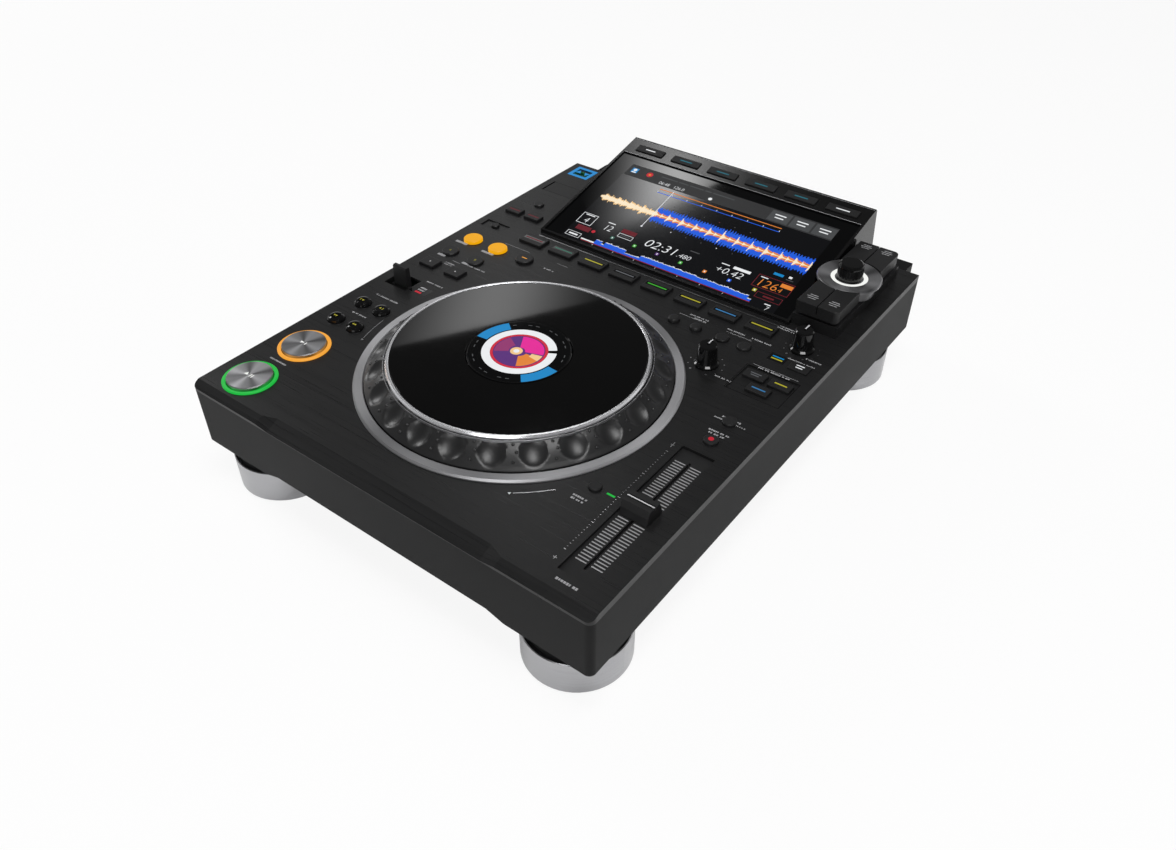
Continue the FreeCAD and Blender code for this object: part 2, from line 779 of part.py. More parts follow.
def door_rib():
    # a frame below the skin that holds both ends of the hinge pin
    frame = block_at("door_frame", ("door_x", "door_y"), "door_long + 6", "door_deep + 6",
                     f"{UNDERSIDE} - 3.5", UNDERSIDE)
    inner = block_at("door_frame_gap", ("door_x", "door_y"), "door_long + 2*key_gap",
                     "door_deep + 2*key_gap", f"{UNDERSIDE} - 6", f"{UNDERSIDE} + 1")
    pin = lying_drum("door_pin_hole", (DOOR_AXIS_X, "door_y", DOOR_AXIS_Z), "door_pin_radius + bearing_gap",
                     "door_deep + 4", "y")
    panel_holes.append(pin)
    return cut("door_rib", frame, [inner])


DOOR_AXIS_X = "door_x - door_long/2 + panel_skin"
DOOR_AXIS_Z = UNDERSIDE


def card_door():
    leaf = block("door_leaf", (DOOR_AXIS_X, "door_y - door_deep/2", UNDERSIDE),
                 ("door_x + door_long/2", "door_y + door_deep/2", "panel_top"))
    barrel = lying_drum("door_barrel", (DOOR_AXIS_X, "door_y", DOOR_AXIS_Z), "panel_skin", "door_deep", "y")
    pin = lying_drum("door_pin", (DOOR_AXIS_X, "door_y", DOOR_AXIS_Z), "door_pin_radius",
                     "door_deep + 3.4", "y")
    return node(joined("card_door", [leaf, barrel, pin]), "card_door")


def media_ports():
    shell = block_at("usb_shell", ("usb_x", "usb_y"), "usb_long", "usb_deep", "panel_top - usb_tall",
                     "panel_top - 1.0")
    gap = block_at("usb_gap", ("usb_x", "usb_y"), "usb_long - 2*usb_wall", "usb_deep - 2*usb_wall",
                   "panel_top - usb_tall + 1.2", "panel_top + 1")
    tongue = block_at("usb_tongue_bar", ("usb_x", "usb_y - 1.6"), "usb_long - 4", "usb_tongue",
                      "panel_top - usb_tall + 0.5", "panel_top - 2.0")
    base = block_at("usb_base", ("usb_x", "usb_y"), "usb_long + 1", "usb_deep + 1",
                    "board_top", "panel_top - usb_tall")
    usb = joined("usb_port", [cut("usb_can", shell, [gap]), tongue, base])
    card = block_at("card_can", ("door_x", "door_y"), "25", "door_deep - 2", "board_top", "board_top + 3.0")
    mouth = block_at("card_mouth", ("door_x", "door_y"), "22", "door_deep - 5", "board_top + 1.0",
                     "board_top + 9")
    return [usb, cut("card_socket", card, [mouth])]


# jog wheel

def jog_bezel():
    top = d.panel_top + d.bezel_proud
    outline = [(d.bezel_inner, d.panel_top), (d.bezel_outer, d.panel_top), (d.bezel_outer, top - 1.4),
               (d.bezel_outer - 1.0, top), (d.bezel_inner + 0.6, top), (d.bezel_inner, top - 0.6)]
    return node(turned("jog_bezel", outline, (0, "jog_y", 0)), "jog_bezel")


def jog_post():
    # fixed hollow column that carries the ring bearing and the middle display
    floor = d.skirt_bottom + d.belly_rise + d.case_wall
    head = d.panel_top + d.jog_proud - d.platter_thick - d.platter_travel - 2.6
    outline = [(7, floor), (40, floor), (40, floor + 2.5), (d.hub_radius + d.hub_wall + 3, floor + 5),
               (d.hub_radius + d.hub_wall + 3, d.hub_shelf), (d.hub_radius, d.hub_shelf),
               (d.hub_radius, head), (d.window_radius - 0.4, head), (d.window_radius - 0.4, head + 1.6),
               (7, head + 1.6)]
    return node(turned("jog_post", outline, (0, "jog_y", 0)), "jog_post")


def jog_display():
    low = d.panel_top + d.jog_proud - d.platter_thick - d.platter_travel - 1.0
    top = d.panel_top + d.jog_proud - 0.4
    outline = [(0, low), (d.window_radius, low), (d.window_radius, top - 0.3),
               (d.window_radius - 0.3, top), (0, top)]
    return node(turned("jog_display", outline, (0, "jog_y", 0)), "jog_display")


def jog_ring():
    # rotating ring: hub, web and a sloping rim with finger dimples
    low = d.panel_top + 1.0
    top = d.panel_top + d.jog_proud - 2.2
    bore = d.hub_radius + d.bearing_gap
    hub = d.hub_radius + d.hub_wall
    web = low + 3.2
    outline = [(bore, d.hub_shelf + d.seat_gap), (hub, d.hub_shelf + d.seat_gap), (hub, low),
               (d.jog_outer - 0.6, low), (d.jog_outer, low + 0.6), (d.jog_outer, low + 1.8),
               (d.jog_outer - 2.2, low + 3.6), (d.jog_shoulder, top), (d.jog_trim_inner - 3, top),
               (d.jog_trim_inner - 3, top - 2.0), (d.jog_trim_inner, top - 2.0 - 1.2),
               (d.jog_outer - 6, low + d.jog_skin + 1), (d.jog_outer - 8, web), (bore, web)]
    body = turned("jog_ring", outline, (0, "jog_y", 0))
    doc.recompute()
    run = d.jog_outer - 2.2 - d.jog_shoulder
    rise = top - (low + 3.6)
    slope = math.atan2(rise, run)
    middle_r = (d.jog_outer - 2.2 + d.jog_shoulder)/2 - d.dimple_depth*math.sin(slope)
    middle_z = (low + 3.6 + top)/2 - d.dimple_depth*math.cos(slope)
    bowl = body.newObject("PartDesign::SubtractiveCone", "dimple")
    bowl.setExpression("Radius1", bound("dimple_floor"))
    bowl.setExpression("Radius2", bound("dimple_mouth + (dimple_mouth - dimple_floor)"))
    bowl.setExpression("Height", bound("2*dimple_depth"))
    lean = FreeCAD.Rotation(Vector(0, 1, 0), math.degrees(slope))
    bowl.Placement = FreeCAD.Placement(Vector(middle_r, 0, middle_z), lean)
    doc.recompute()
    ring = body.newObject("PartDesign::PolarPattern", "dimples")
    ring.Originals = [bowl]
    ring.Axis = (plane_of(body, "Z_Axis"), [""])
    ring.Angle = 360
    ring.Occurrences = int(d.dimple_count)
    body.Tip = ring
    return node(body, "jog_ring")


def jog_trim():
    top = d.panel_top + d.jog_proud
    low = top - 2.2
    outline = [(d.jog_trim_inner, low), (d.jog_shoulder, low), (d.jog_shoulder, top - 1.2),
               (d.jog_shoulder - 0.8, top + 0.0), (d.jog_trim_inner + 0.3, top + 0.0),
               (d.jog_trim_inner, top - 0.3)]
    return node(turned("jog_trim", outline, (0, "jog_y", 0)), "jog_trim")


def jog_platter():
    top = d.panel_top + d.jog_proud - 0.4
    low = top - d.platter_thick + 0.8
    outer = d.jog_trim_inner - d.platter_gap
    inner = d.window_radius + d.platter_gap
    outline = [(inner, low), (outer, low), (outer, top - 0.5), (outer - 0.5, top), (inner + 0.4, top),
               (inner, top - 0.4)]
    return node(turned("jog_platter", outline, (0, "jog_y", 0)), "jog_platter")


# rotary knobs with a pointer rib

def rotary_knob(name, x, y):
    low = d.panel_top + d.knob_lift
    top = d.panel_top + d.knob_height
    outline = [(0, d.board_top + 1.0), (d.knob_shaft, d.board_top + 1.0), (d.knob_shaft, low),
               (d.knob_radius, low), (d.knob_radius, low + 1.4), (d.knob_radius - 1.3, low + 2.4),
               (d.knob_top_radius, top - 0.8), (d.knob_top_radius - 0.8, top), (0, top)]
    grip = turned(name + "_grip", outline, (x, y, 0))
    rib = block_at(name + "_rib", (x, f"{y} + knob_top_radius/2 - 0.3"), "1.4", "knob_top_radius",
                   "panel_top + knob_height - 3", "panel_top + knob_height + 0.5")
    panel_holes.append(drum(name + "_hole", (x, y), "knob_shaft + bearing_gap", "panel_top - 20",
                            "panel_top + 20"))
    return node(joined(name, [grip, rib]), name)


# tempo slider

def fader_plate():
    top = "panel_top - fader_sink"
    low = f"{top} - fader_plate_thick"
    plate = block_at("fader_tray", ("fader_x", "fader_y"), "fader_frame_long + 4", "fader_frame_deep + 4",
                     low, UNDERSIDE)
    well = block_at("fader_well", ("fader_x", "fader_y"), "fader_frame_long", "fader_frame_deep", top,
                    "panel_top + 1")
    slot = block_at("fader_slot_cut", ("fader_x", "fader_y"), "fader_slot",
                    "fader_travel + fader_stem_deep + 1.0", "panel_top - 30", "panel_top + 1")
    return node(cut("fader_plate", plate, [well, slot]), "fader_plate")


def fader_unit():
    top = "panel_top - fader_sink - fader_plate_thick"
    low = f"{top} - fader_unit_tall"
    case = block_at("fader_case", ("fader_x", "fader_y"), "11", "fader_travel + 20", low, top)
    slot = block_at("fader_unit_slot", ("fader_x", "fader_y"), "fader_slot",
                    "fader_travel + fader_stem_deep + 1.0", f"{low} + 2", f"{top} + 1")
    return node(cut("fader_unit", case, [slot]), "fader_unit")


def tempo_slider():
    low = "panel_top - fader_sink + 0.3"
    half = d.fader_cap_deep / 2
    tall = d.fader_cap_tall
    outline = [(-half, 0), (half, 0), (half - 1.0, tall * 0.55), (half - 2.8, tall), (1.6, tall),
               (0.7, tall - 1.5), (-0.7, tall - 1.5), (-1.6, tall), (-half + 2.8, tall),
               (-half + 1.0, tall * 0.55)]
    cap, bar = prism("slider_cap", outline, "YZ_Plane", 0, "fader_cap_long")
    put(cap, ("fader_x - fader_cap_long/2", "fader_y", low))
    stem = block_at("slider_stem", ("fader_x", "fader_y"), "fader_stem_long", "fader_stem_deep",
                    "panel_top - fader_sink - fader_plate_thick - 6", "panel_top")
    return node(joined("tempo_slider", [cap, stem]), "tempo_slider")


# screen housing: a wedge that laps over the panel's rear edge

screen_base = Vector(0, d.screen_front_y, d.panel_top + d.screen_front_rise)
screen_tilt = math.atan2(d.overall_height - screen_base.z, d.screen_top_y - d.screen_front_y)
on_screen = FreeCAD.Rotation(Vector(1, 0, 0), math.degrees(screen_tilt))


def tilted(thing, x, along, up):
    # a place on the screen face: x, distance up the face, height off the face
    spot = screen_base + on_screen.multVec(Vector(0, along, up)) + Vector(x, 0, 0)
    thing.Placement = FreeCAD.Placement(spot, on_screen)
    return thing


def tilted_block(name, x, along, wide, deep, low, high):
    solid = doc.addObject("Part::Box", name)
    solid.setExpression("Length", bound(wide))
    solid.setExpression("Width", bound(deep))
    solid.Height = high - low
    doc.recompute()
    return tilted(solid, x - float(solid.Length) / 2, along - float(solid.Width) / 2, low)


def selector_notch(name):
    # room beside the screen for the ring round the selector
    return drum(name, ("browse_x", "browse_y"), "browse_ring_radius + swing_gap/2", "panel_top - 1",
                "overall_height + 20")


def screen_housing():
    lap_low = d.rear_high
    lap_y = back_y + 0.0
    skin = d.screen_skin
    outline = [(d.screen_front_y, d.panel_top), (screen_base.y, screen_base.z),
               (d.screen_top_y - 1.0, d.overall_height - 0.3), (d.screen_top_y, d.overall_height),
               (d.screen_top_y + 1.6, d.overall_height - 1.4), (d.screen_rear_y, lap_low),
               (lap_y, lap_low), (lap_y, d.panel_top)]
    shell, bar = prism("housing_shell", outline, "YZ_Plane", 0, "screen_width")
    put(shell, ("screen_mid_x - screen_width/2", 0, 0))
    drop = skin + d.glass_sink + d.glass_thick + 2.0
    run = math.tan(screen_tilt)
    start = d.screen_front_y + 24
    inner = [(start, d.panel_top - 1), (start, screen_base.z + (start - d.screen_front_y) * run - drop),
             (d.screen_top_y - 1, d.overall_height - drop), (d.screen_rear_y - skin - 1.5, d.panel_top + 4),
             (d.screen_rear_y - skin - 1.5, lap_low + skin), (lap_y + skin, lap_low + skin),
             (lap_y + skin, d.panel_top + skin), (lap_y - 3, d.panel_top - 1)]
    hollow, bar = prism("housing_hollow", inner, "YZ_Plane", 0, "screen_width - 2*screen_skin")
    put(hollow, ("screen_mid_x - screen_width/2 + screen_skin", 0, 0))
    wall = drum("housing_notch_wall", ("browse_x", "browse_y"), "browse_ring_radius + screen_skin", "0",
                "overall_height")
    hollow = cut("housing_room", hollow, [wall])
    depth = d.glass_sink + d.glass_thick
    pocket = tilted_block("glass_pocket", d.screen_mid_x, d.glass_front + d.glass_length / 2,
                          "screen_width - 2*glass_side", "glass_length", -depth, 5)
    tools = [hollow, pocket, selector_notch("housing_notch")] + screen_key_cuts()
    return node(cut("screen_housing", shell, tools), "screen_housing")


def display_glass():
    depth = d.glass_sink + d.glass_thick
    pane = tilted_block("display_pane", d.screen_mid_x, d.glass_front + d.glass_length / 2,
                        "screen_width - 2*glass_side - 0.2", "glass_length - 0.2", -depth, -d.glass_sink)
    return node(cut("display_glass", pane, [selector_notch("glass_notch")]), "display_glass")


def screen_key_places():
    count = int(d.screen_key_count)
    return [d.screen_key_mid_x + (i - (count - 1) / 2) * d.screen_key_pitch for i in range(count)]


SCREEN_KEY_SKIN = 1.6


def screen_key_cuts():
    tools = []
    for i, x in enumerate(screen_key_places()):
        tools.append(tilted_block(f"screen_key_hole_{i}", x, d.screen_key_run, "screen_key_long + 2*key_gap",
                                  "screen_key_deep + 2*key_gap", -20, 5))
    room = d.screen_key_travel + d.flange_thick + d.seat_gap + 0.3
    reach = d.screen_key_pitch * (d.screen_key_count - 1) + d.screen_key_long + 6
    box = tilted_block("screen_key_room", d.screen_key_mid_x, d.screen_key_run, str(reach),
                       "screen_key_deep + 3", -SCREEN_KEY_SKIN - room, -SCREEN_KEY_SKIN)
    return tools + [box]


def screen_keys():
    top = -SCREEN_KEY_SKIN - d.seat_gap
    low = top - d.flange_thick
    reach = d.screen_key_pitch * (d.screen_key_count - 1) + d.screen_key_long + 4
    pieces = [tilted_block("screen_key_bar", d.screen_key_mid_x, d.screen_key_run, str(reach),
                           "screen_key_deep + 1.6", low, top)]
    for i, x in enumerate(screen_key_places()):
        pieces.append(tilted_block(f"screen_key_{i}", x, d.screen_key_run, "screen_key_long",
                                   "screen_key_deep", low, d.screen_key_proud))
    return node(joined("screen_keys", pieces), "screen_keys")


# browse knob, its dished ring and the four tall keys round it

def selector_boss():
    return block("selector_boss",
                 ("screen_mid_x + screen_width/2 + key_gap", "browse_y - selector_half_deep", UNDERSIDE),
                 ("browse_x + selector_half_long + 1.5", "browse_y + selector_half_deep", "browse_boss_top"))


def browse_ring():
    top = d.browse_ring_top
    well = top - d.browse_well_depth
    outline = [(d.browse_shaft_radius + d.bearing_gap, d.browse_boss_top),
               (d.browse_ring_radius - 4, d.browse_boss_top), (d.browse_ring_radius - 4, top - 5),
               (d.browse_ring_radius, top - 2.4), (d.browse_ring_radius, top - 1.0),
               (d.browse_ring_radius - 0.8, top), (d.browse_ring_radius - 2.0, top),
               (d.browse_well_radius + 1.2, top - 1.2), (d.browse_well_radius, top - 1.2),
               (d.browse_well_radius, well), (d.browse_shaft_radius + d.bearing_gap, well)]
    return node(turned("browse_ring", outline, ("browse_x", "browse_y", 0)), "browse_ring")


def browse_shaft():
    shaft = drum("browse_shaft", ("browse_x", "browse_y"), "browse_shaft_radius", "board_top + 3.0",
                 "browse_knob_top - 3.2")
    panel_holes.append(drum("browse_hole", ("browse_x", "browse_y"), "browse_shaft_radius + bearing_gap",
                            "panel_top - 20", "panel_top + 20"))
    return node(shaft, "browse_shaft")


def browse_knob():
    low = d.browse_ring_top - d.browse_well_depth + 0.8 + d.browse_travel + 0.2
    top = d.browse_knob_top
    bore = d.browse_shaft_radius + d.bearing_gap
    outline = [(bore, low), (d.browse_knob_radius, low), (d.browse_knob_radius, top - 1.6),
               (d.browse_knob_radius - 0.8, top - 0.5), (d.browse_knob_radius - 1.8, top),
               (0, top), (0, top - 3.0), (bore, top - 3.0)]
    grip = turned("browse_grip", outline, ("browse_x", "browse_y", 0))
    grooves = []
    count = int(d.browse_grooves)
    for i in range(count):
        angle = 360.0 * i / count
        reach = d.browse_knob_radius + 0.15
        x = f"browse_x + {reach:.4f}*cos({angle:.4f})"
        y = f"browse_y + {reach:.4f}*sin({angle:.4f})"
        grooves.append(drum(f"groove_{i}", (x, y), "0.5", f"{low:.3f} - 1", "browse_knob_top - 2.4"))
    return node(cut("browse_knob", grip, grooves), "browse_knob")


def selector_keys():
    for name, side in (("selector_keys_rear", 1), ("selector_keys_front", -1)):
        body = new_body(name + "_caps")
        feature = pad(body, name + "_block", ("2*selector_half_long", "selector_half_deep - 2"),
                      "browse_boss_top + key_travel + 0.2", "selector_top")

        def outer_corner(edge, side=side):
            box = edge.BoundBox
            upright = box.ZLength > 1 and box.XLength < 1e-4 and box.YLength < 1e-4
            return upright and box.YMax * side > 0 and box.XMax > 0

        rounded = round_edges(body, feature, "selector_round", outer_corner)
        round_edges(body, rounded, "cap_round", level_at(d.selector_top))
        put(body, ("browse_x + 0.4", f"browse_y + ({side})*(selector_half_deep/2 + 0.6)", 0))
        notch = drum(name + "_notch", ("browse_x", "browse_y"), "browse_ring_radius + key_gap",
                     "browse_boss_top", "selector_top + 5")
        gap = block(name + "_gap", ("browse_x + 0.4 - selector_slot/2", "browse_y - 80",
                                    "selector_top - 7"),
                    ("browse_x + 0.4 + selector_slot/2", "browse_y + 80", "selector_top + 5"))
        clear = block(name + "_clear", ("0", "browse_y - 80", "panel_top"),
                      ("screen_mid_x + screen_width/2 + key_gap", "browse_y + 80", "selector_top + 5"))
        caps = cut(name + "_cut", body, [notch, gap, clear])
        y = f"browse_y + ({side})*(selector_half_deep*0.75)"
        guide = drum(name + "_guide", ("browse_x", y), "2.5", KEY_LOW, "browse_boss_top + key_travel + 1")
        panel_holes.append(drum(name + "_guide_hole", ("browse_x", y), "2.5 + bearing_gap",
                                "panel_top - 20", "panel_top + 20"))
        node(joined(name, [caps, guide]), name)


# rear panel

REAR_FACE = "overall_depth/2 - jack_length"


def rear_panel():
    hood = block("rear_hood", ("-rear_half_width", BACK, "rear_low"),
                 ("rear_half_width", REAR_FACE, "rear_high"))
    inner = block("rear_hood_inner", ("-rear_half_width + case_wall", f"{BACK} - 1", "rear_low + case_wall"),
                  ("rear_half_width - case_wall", f"{REAR_FACE} - case_wall", "rear_high - case_wall"))
    holes = [block_at("inlet_hole", ("inlet_x", REAR_FACE), "inlet_wide", "20",
                      "jack_height - inlet_tall/2", "jack_height + inlet_tall/2"),
             block_at("network_hole", ("network_x", REAR_FACE), "network_wide", "20",
                      "jack_height - network_tall/2", "jack_height + network_tall/2"),
             block_at("computer_hole", ("computer_x", REAR_FACE), "computer_wide", "20",
                      "jack_height - computer_tall/2", "jack_height + computer_tall/2"),
             block_at("switch_hole", ("switch_x", REAR_FACE), "switch_wide + 2*swing_gap", "20",
                      "jack_height - switch_tall/2 - swing_gap", "jack_height + switch_tall/2 + swing_gap")]
    for i in range(int(d.jack_count)):
        x = f"jack_mid_x + ({i - 1})*jack_pitch"
        holes.append(lying_drum(f"jack_hole_{i}", (x, REAR_FACE, "jack_height"), "jack_radius", "20", "y"))
    hood_shell = cut("rear_hood_shell", hood, [inner])
    cheeks = []
    for side in (-1, 1):
        x = f"switch_x + ({side})*(switch_wide/2 + swing_gap + 1)"
        cheeks.append(block_at(f"switch_cheek_{side + 1}", (x, f"{REAR_FACE} - case_wall - 2.5"), "2", "6",
                               "jack_height - 4", "jack_height + 4"))
    bore = lying_drum("switch_bore", ("switch_x", f"{REAR_FACE} - case_wall - 2.5", "jack_height"),
                      "switch_pin + bearing_gap", "switch_wide + 2*swing_gap + 8", "x")
    base = joined("rear_panel_body", [hood_shell] + cheeks)
    return node(cut("rear_panel", base, holes + [bore]), "rear_panel")


def power_switch():
    pivot = f"{REAR_FACE} - case_wall - 2.5"
    deep = d.case_wall + 2.5 + d.switch_proud
    half = d.switch_tall / 2
    outline = [(-3.0, -half + 2.5), (-3.0, half - 2.5), (deep - 1.8, half), (deep, half - 0.4),
               (deep - 1.6, 0), (deep, -half + 0.4), (deep - 1.8, -half)]
    rocker, bar = prism("switch_rocker", outline, "YZ_Plane", 0, "switch_wide")
    put(rocker, ("switch_x - switch_wide/2", pivot, "jack_height"))
    pin = lying_drum("switch_pin_bar", ("switch_x", pivot, "jack_height"), "switch_pin",
                     "switch_wide + 2*swing_gap + 3.6", "x")
    return node(joined("power_switch", [rocker, pin]), "power_switch")


def socket_shell(name, x, wide, tall, deep, wall):
    # a socket body set in the rear panel, open to the back
    shell = block_at(name + "_shell", (x, f"{REAR_FACE} - ({deep})/2 + 0.4"), wide, f"{deep} + 0.8",
                     f"jack_height - ({tall})/2", f"jack_height + ({tall})/2")
    mouth = block_at(name + "_mouth", (x, f"{REAR_FACE} - ({deep})/2 + {wall} + 1"), f"{wide} - 2*{wall}",
                     f"{deep} + 2", f"jack_height - ({tall})/2 + {wall}", f"jack_height + ({tall})/2 - {wall}")
    return cut(name + "_body", shell, [mouth])


def power_inlet():
    body = socket_shell("inlet", "inlet_x", "inlet_wide", "inlet_tall", "inlet_deep", "inlet_wall")
    pins = []
    for i, (side, lift) in enumerate(((-1, 0), (0, 1), (1, 0))):
        z = f"jack_height + 1.2 + ({lift})*3.4"
        y = f"{REAR_FACE} - inlet_deep/2 - 1.5"
        pins.append(block_at(f"inlet_pin_{i}", (f"inlet_x + ({side})*7", y), "2", "inlet_deep - 4",
                             f"{z} - 2", f"{z} + 2"))
    return joined("power_inlet", [body] + pins)


def rear_sockets():
    pieces = [socket_shell("network", "network_x", "network_wide", "network_tall", "network_deep",
                           "network_wall")]
    computer = socket_shell("computer", "computer_x", "computer_wide", "computer_tall", "14", "1.0")
    tongue = block_at("computer_tongue", ("computer_x", f"{REAR_FACE} - 8"), "6", "12",
                      "jack_height - 1.4", "jack_height + 1.4")
    pieces += [joined("computer_port", [computer, tongue]), power_inlet()]
    for i in range(int(d.jack_count)):
        x = f"jack_mid_x + ({i - 1})*jack_pitch"
        barrel = lying_drum(f"jack_barrel_{i}", (x, f"{REAR_FACE} + jack_length/2 - 4", "jack_height"),
                            "jack_radius", "jack_length + 8", "y")
        flange = lying_drum(f"jack_flange_{i}", (x, f"{REAR_FACE} + 0.6", "jack_height"), "jack_flange",
                            "1.2", "y")
        bore = lying_drum(f"jack_bore_{i}", (x, f"{REAR_FACE} + jack_length/2 + 1", "jack_height"), "1.6",
                          "jack_length + 2", "y")
        pieces.append(cut(f"jack_{i}", joined(f"jack_solid_{i}", [barrel, flange]), [bore]))
    return node(group("rear_sockets", pieces), "rear_sockets")


# boards and power supply inside

def control_board():
    low = "board_top - board_thick"
    left = block("board_left", ("-body_width/2 + 5", f"{FRONT} + 8", low), ("-113", f"{BACK} - 6", "board_top"))
    middle = block("board_middle", ("-115", "10", low), ("body_width/2 - 5", "66", "board_top"))
    right = block("board_right", ("88", "-84", low), ("body_width/2 - 5", "12", "board_top"))
    tab = block("board_tab", ("98", "-160", low), ("122", "-82", "board_top"))
    deck = block("board_deck", ("112", "64", low), ("body_width/2 - 5", f"{BACK} - 6", "board_top"))
    round_gap = drum("board_gap", ("0", "jog_y"), "bezel_outer + 2", "0", "overall_height")
    fader_gap = block_at("board_fader_gap", ("fader_x", "fader_y"), "14", "fader_travel + 26", "0",
                         "overall_height")
    board = cut("board_plate", joined("board_all", [left, middle, right, tab, deck]),
                [round_gap, fader_gap])
    return node(joined("control_board", [board] + media_ports()), "control_board")


def main_board():
    board = block("main_board_plate", ("-main_board_half", "80", "main_board_z"),
                  ("main_board_half", f"{BACK} - 12", "main_board_z + board_thick"))
    chips = [block_at("processor", ("-20", "130"), "27", "27", "main_board_z + board_thick - 0.1",
                      "main_board_z + board_thick + 2.4"),
             block_at("heat_sink", ("28", "130"), "30", "30", "main_board_z + board_thick - 0.1",
                      "main_board_z + board_thick + 10")]
    return node(joined("main_board", [board] + chips), "main_board")


def power_supply():
    floor = "skirt_bottom + belly_rise + case_wall"
    can = block("supply_can", ("main_board_half + 6", "88", floor), ("122", f"{BACK} - 14",
                                                                     f"{floor} + supply_tall"))
    return node(can, "power_supply")


def write_parts():
    doc.recompute()
    for item in doc.Objects:
        bad = {"Invalid", "Error"} & set(item.State)
        if bad:
            raise RuntimeError(f"{item.Name} ({item.Label}): {item.State}")
    os.makedirs("parts", exist_ok=True)
    for item in PARTS:
        shape = item.Shape
        if shape.isNull() or not shape.isValid() or not shape.Solids:
            raise RuntimeError(f"{item.Label} has no valid solid")
    total = 0
    for item in PARTS:
        item.Shape.exportStep(f"parts/{item.Label}.step")
        mesh = item.Shape.copy().tessellate(0.2)
        total += len(mesh[1])
    print(len(PARTS), "nodes,", total, "facets at 0.2 mm")
    box = Part.makeCompound([item.Shape for item in PARTS]).BoundBox
    print("box", [round(v, 3) for v in (box.XMin, box.XMax, box.YMin, box.YMax, box.ZMin, box.ZMax)])


transport_keys()
left_keys()
hot_cue_keys()
call_and_memory_keys()
right_keys()
direction_lever()
card_door()
rotary_knob("feel_knob", "feel_x", "feel_y")
rotary_knob("release_knob", "release_x", "release_y")
browse_shaft()
browse_knob()
browse_ring()
selector_keys()
light_rings()
top_panel()
lower_case()
feet()
jog_bezel()
jog_post()
jog_display()
jog_ring()
jog_trim()
jog_platter()
fader_plate()
fader_unit()
tempo_slider()
screen_housing()
display_glass()
screen_keys()
rear_panel()
power_switch()
rear_sockets()
control_board()
main_board()
power_supply()
write_parts()
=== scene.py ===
import bpy
import bmesh
import math
import random
from mathutils import Matrix, Vector


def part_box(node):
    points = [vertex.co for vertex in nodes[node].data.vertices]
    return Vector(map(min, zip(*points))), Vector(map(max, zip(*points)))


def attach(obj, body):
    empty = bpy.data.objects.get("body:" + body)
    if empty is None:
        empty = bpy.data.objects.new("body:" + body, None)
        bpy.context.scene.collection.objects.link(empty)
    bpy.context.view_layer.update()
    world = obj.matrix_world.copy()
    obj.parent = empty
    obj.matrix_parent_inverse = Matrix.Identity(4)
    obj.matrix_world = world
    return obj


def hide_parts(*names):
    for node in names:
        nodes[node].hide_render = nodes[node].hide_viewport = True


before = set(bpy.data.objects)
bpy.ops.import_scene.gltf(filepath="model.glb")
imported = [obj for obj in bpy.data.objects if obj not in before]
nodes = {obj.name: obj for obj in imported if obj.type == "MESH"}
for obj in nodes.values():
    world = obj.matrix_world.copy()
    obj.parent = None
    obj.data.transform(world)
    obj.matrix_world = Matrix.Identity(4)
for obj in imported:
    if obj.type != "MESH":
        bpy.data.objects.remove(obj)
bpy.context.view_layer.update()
mm = 0.001
print("frame loaded")


# camera

camera = {"place": (350.2, -476.7, 470.6), "azimuth": 37.08, "elevation": 39.745, "roll": 0.02,
          "lens": 29.797, "shift": 0.002}


def addCamera():
    data = bpy.data.cameras.new("camera")
    data.lens = camera["lens"]
    data.sensor_width = 36.0
    data.shift_x = camera["shift"]
    data.clip_start = 0.01
    view = bpy.data.objects.new("camera", data)
    view.location = Vector(camera["place"]) * mm
    view.rotation_euler = (math.radians(90 - camera["elevation"]), math.radians(camera["roll"]),
                           math.radians(camera["azimuth"]))
    bpy.context.scene.collection.objects.link(view)
    bpy.context.scene.camera = view


addCamera()


# materials

class Wire:  # a node's socket that takes plain arithmetic
    def __init__(self, tree, socket):
        self.tree = tree
        self.socket = socket

    def maths(self, operation, first, second):
        node = self.tree.nodes.new("ShaderNodeMath")
        node.operation = operation
        for socket, value in zip(node.inputs, (first, second)):
            plug(self.tree, socket, value)
        return Wire(self.tree, node.outputs[0])

    def __add__(self, other):
        return self.maths("ADD", self, other)

    def __radd__(self, other):
        return self.maths("ADD", other, self)

    def __sub__(self, other):
        return self.maths("SUBTRACT", self, other)

    def __rsub__(self, other):
        return self.maths("SUBTRACT", other, self)

    def __mul__(self, other):
        return self.maths("MULTIPLY", self, other)

    def __rmul__(self, other):
        return self.maths("MULTIPLY", other, self)

    def __truediv__(self, other):
        return self.maths("DIVIDE", self, other)

    def __pow__(self, other):
        return self.maths("POWER", self, other)

    def __rpow__(self, other):
        return self.maths("POWER", other, self)

    def __gt__(self, other):
        return self.maths("GREATER_THAN", self, other)

    def sine(self):
        return self.maths("SINE", self, 0.0)


def plug(tree, socket, value):
    if isinstance(value, Wire):
        tree.links.new(value.socket, socket)
    elif hasattr(socket.default_value, "__len__") and hasattr(value, "__len__"):
        for place, number in enumerate(value):
            socket.default_value[place] = number
        if len(socket.default_value) == 4 and len(value) == 3:
            socket.default_value[3] = 1.0
    else:
        socket.default_value = value


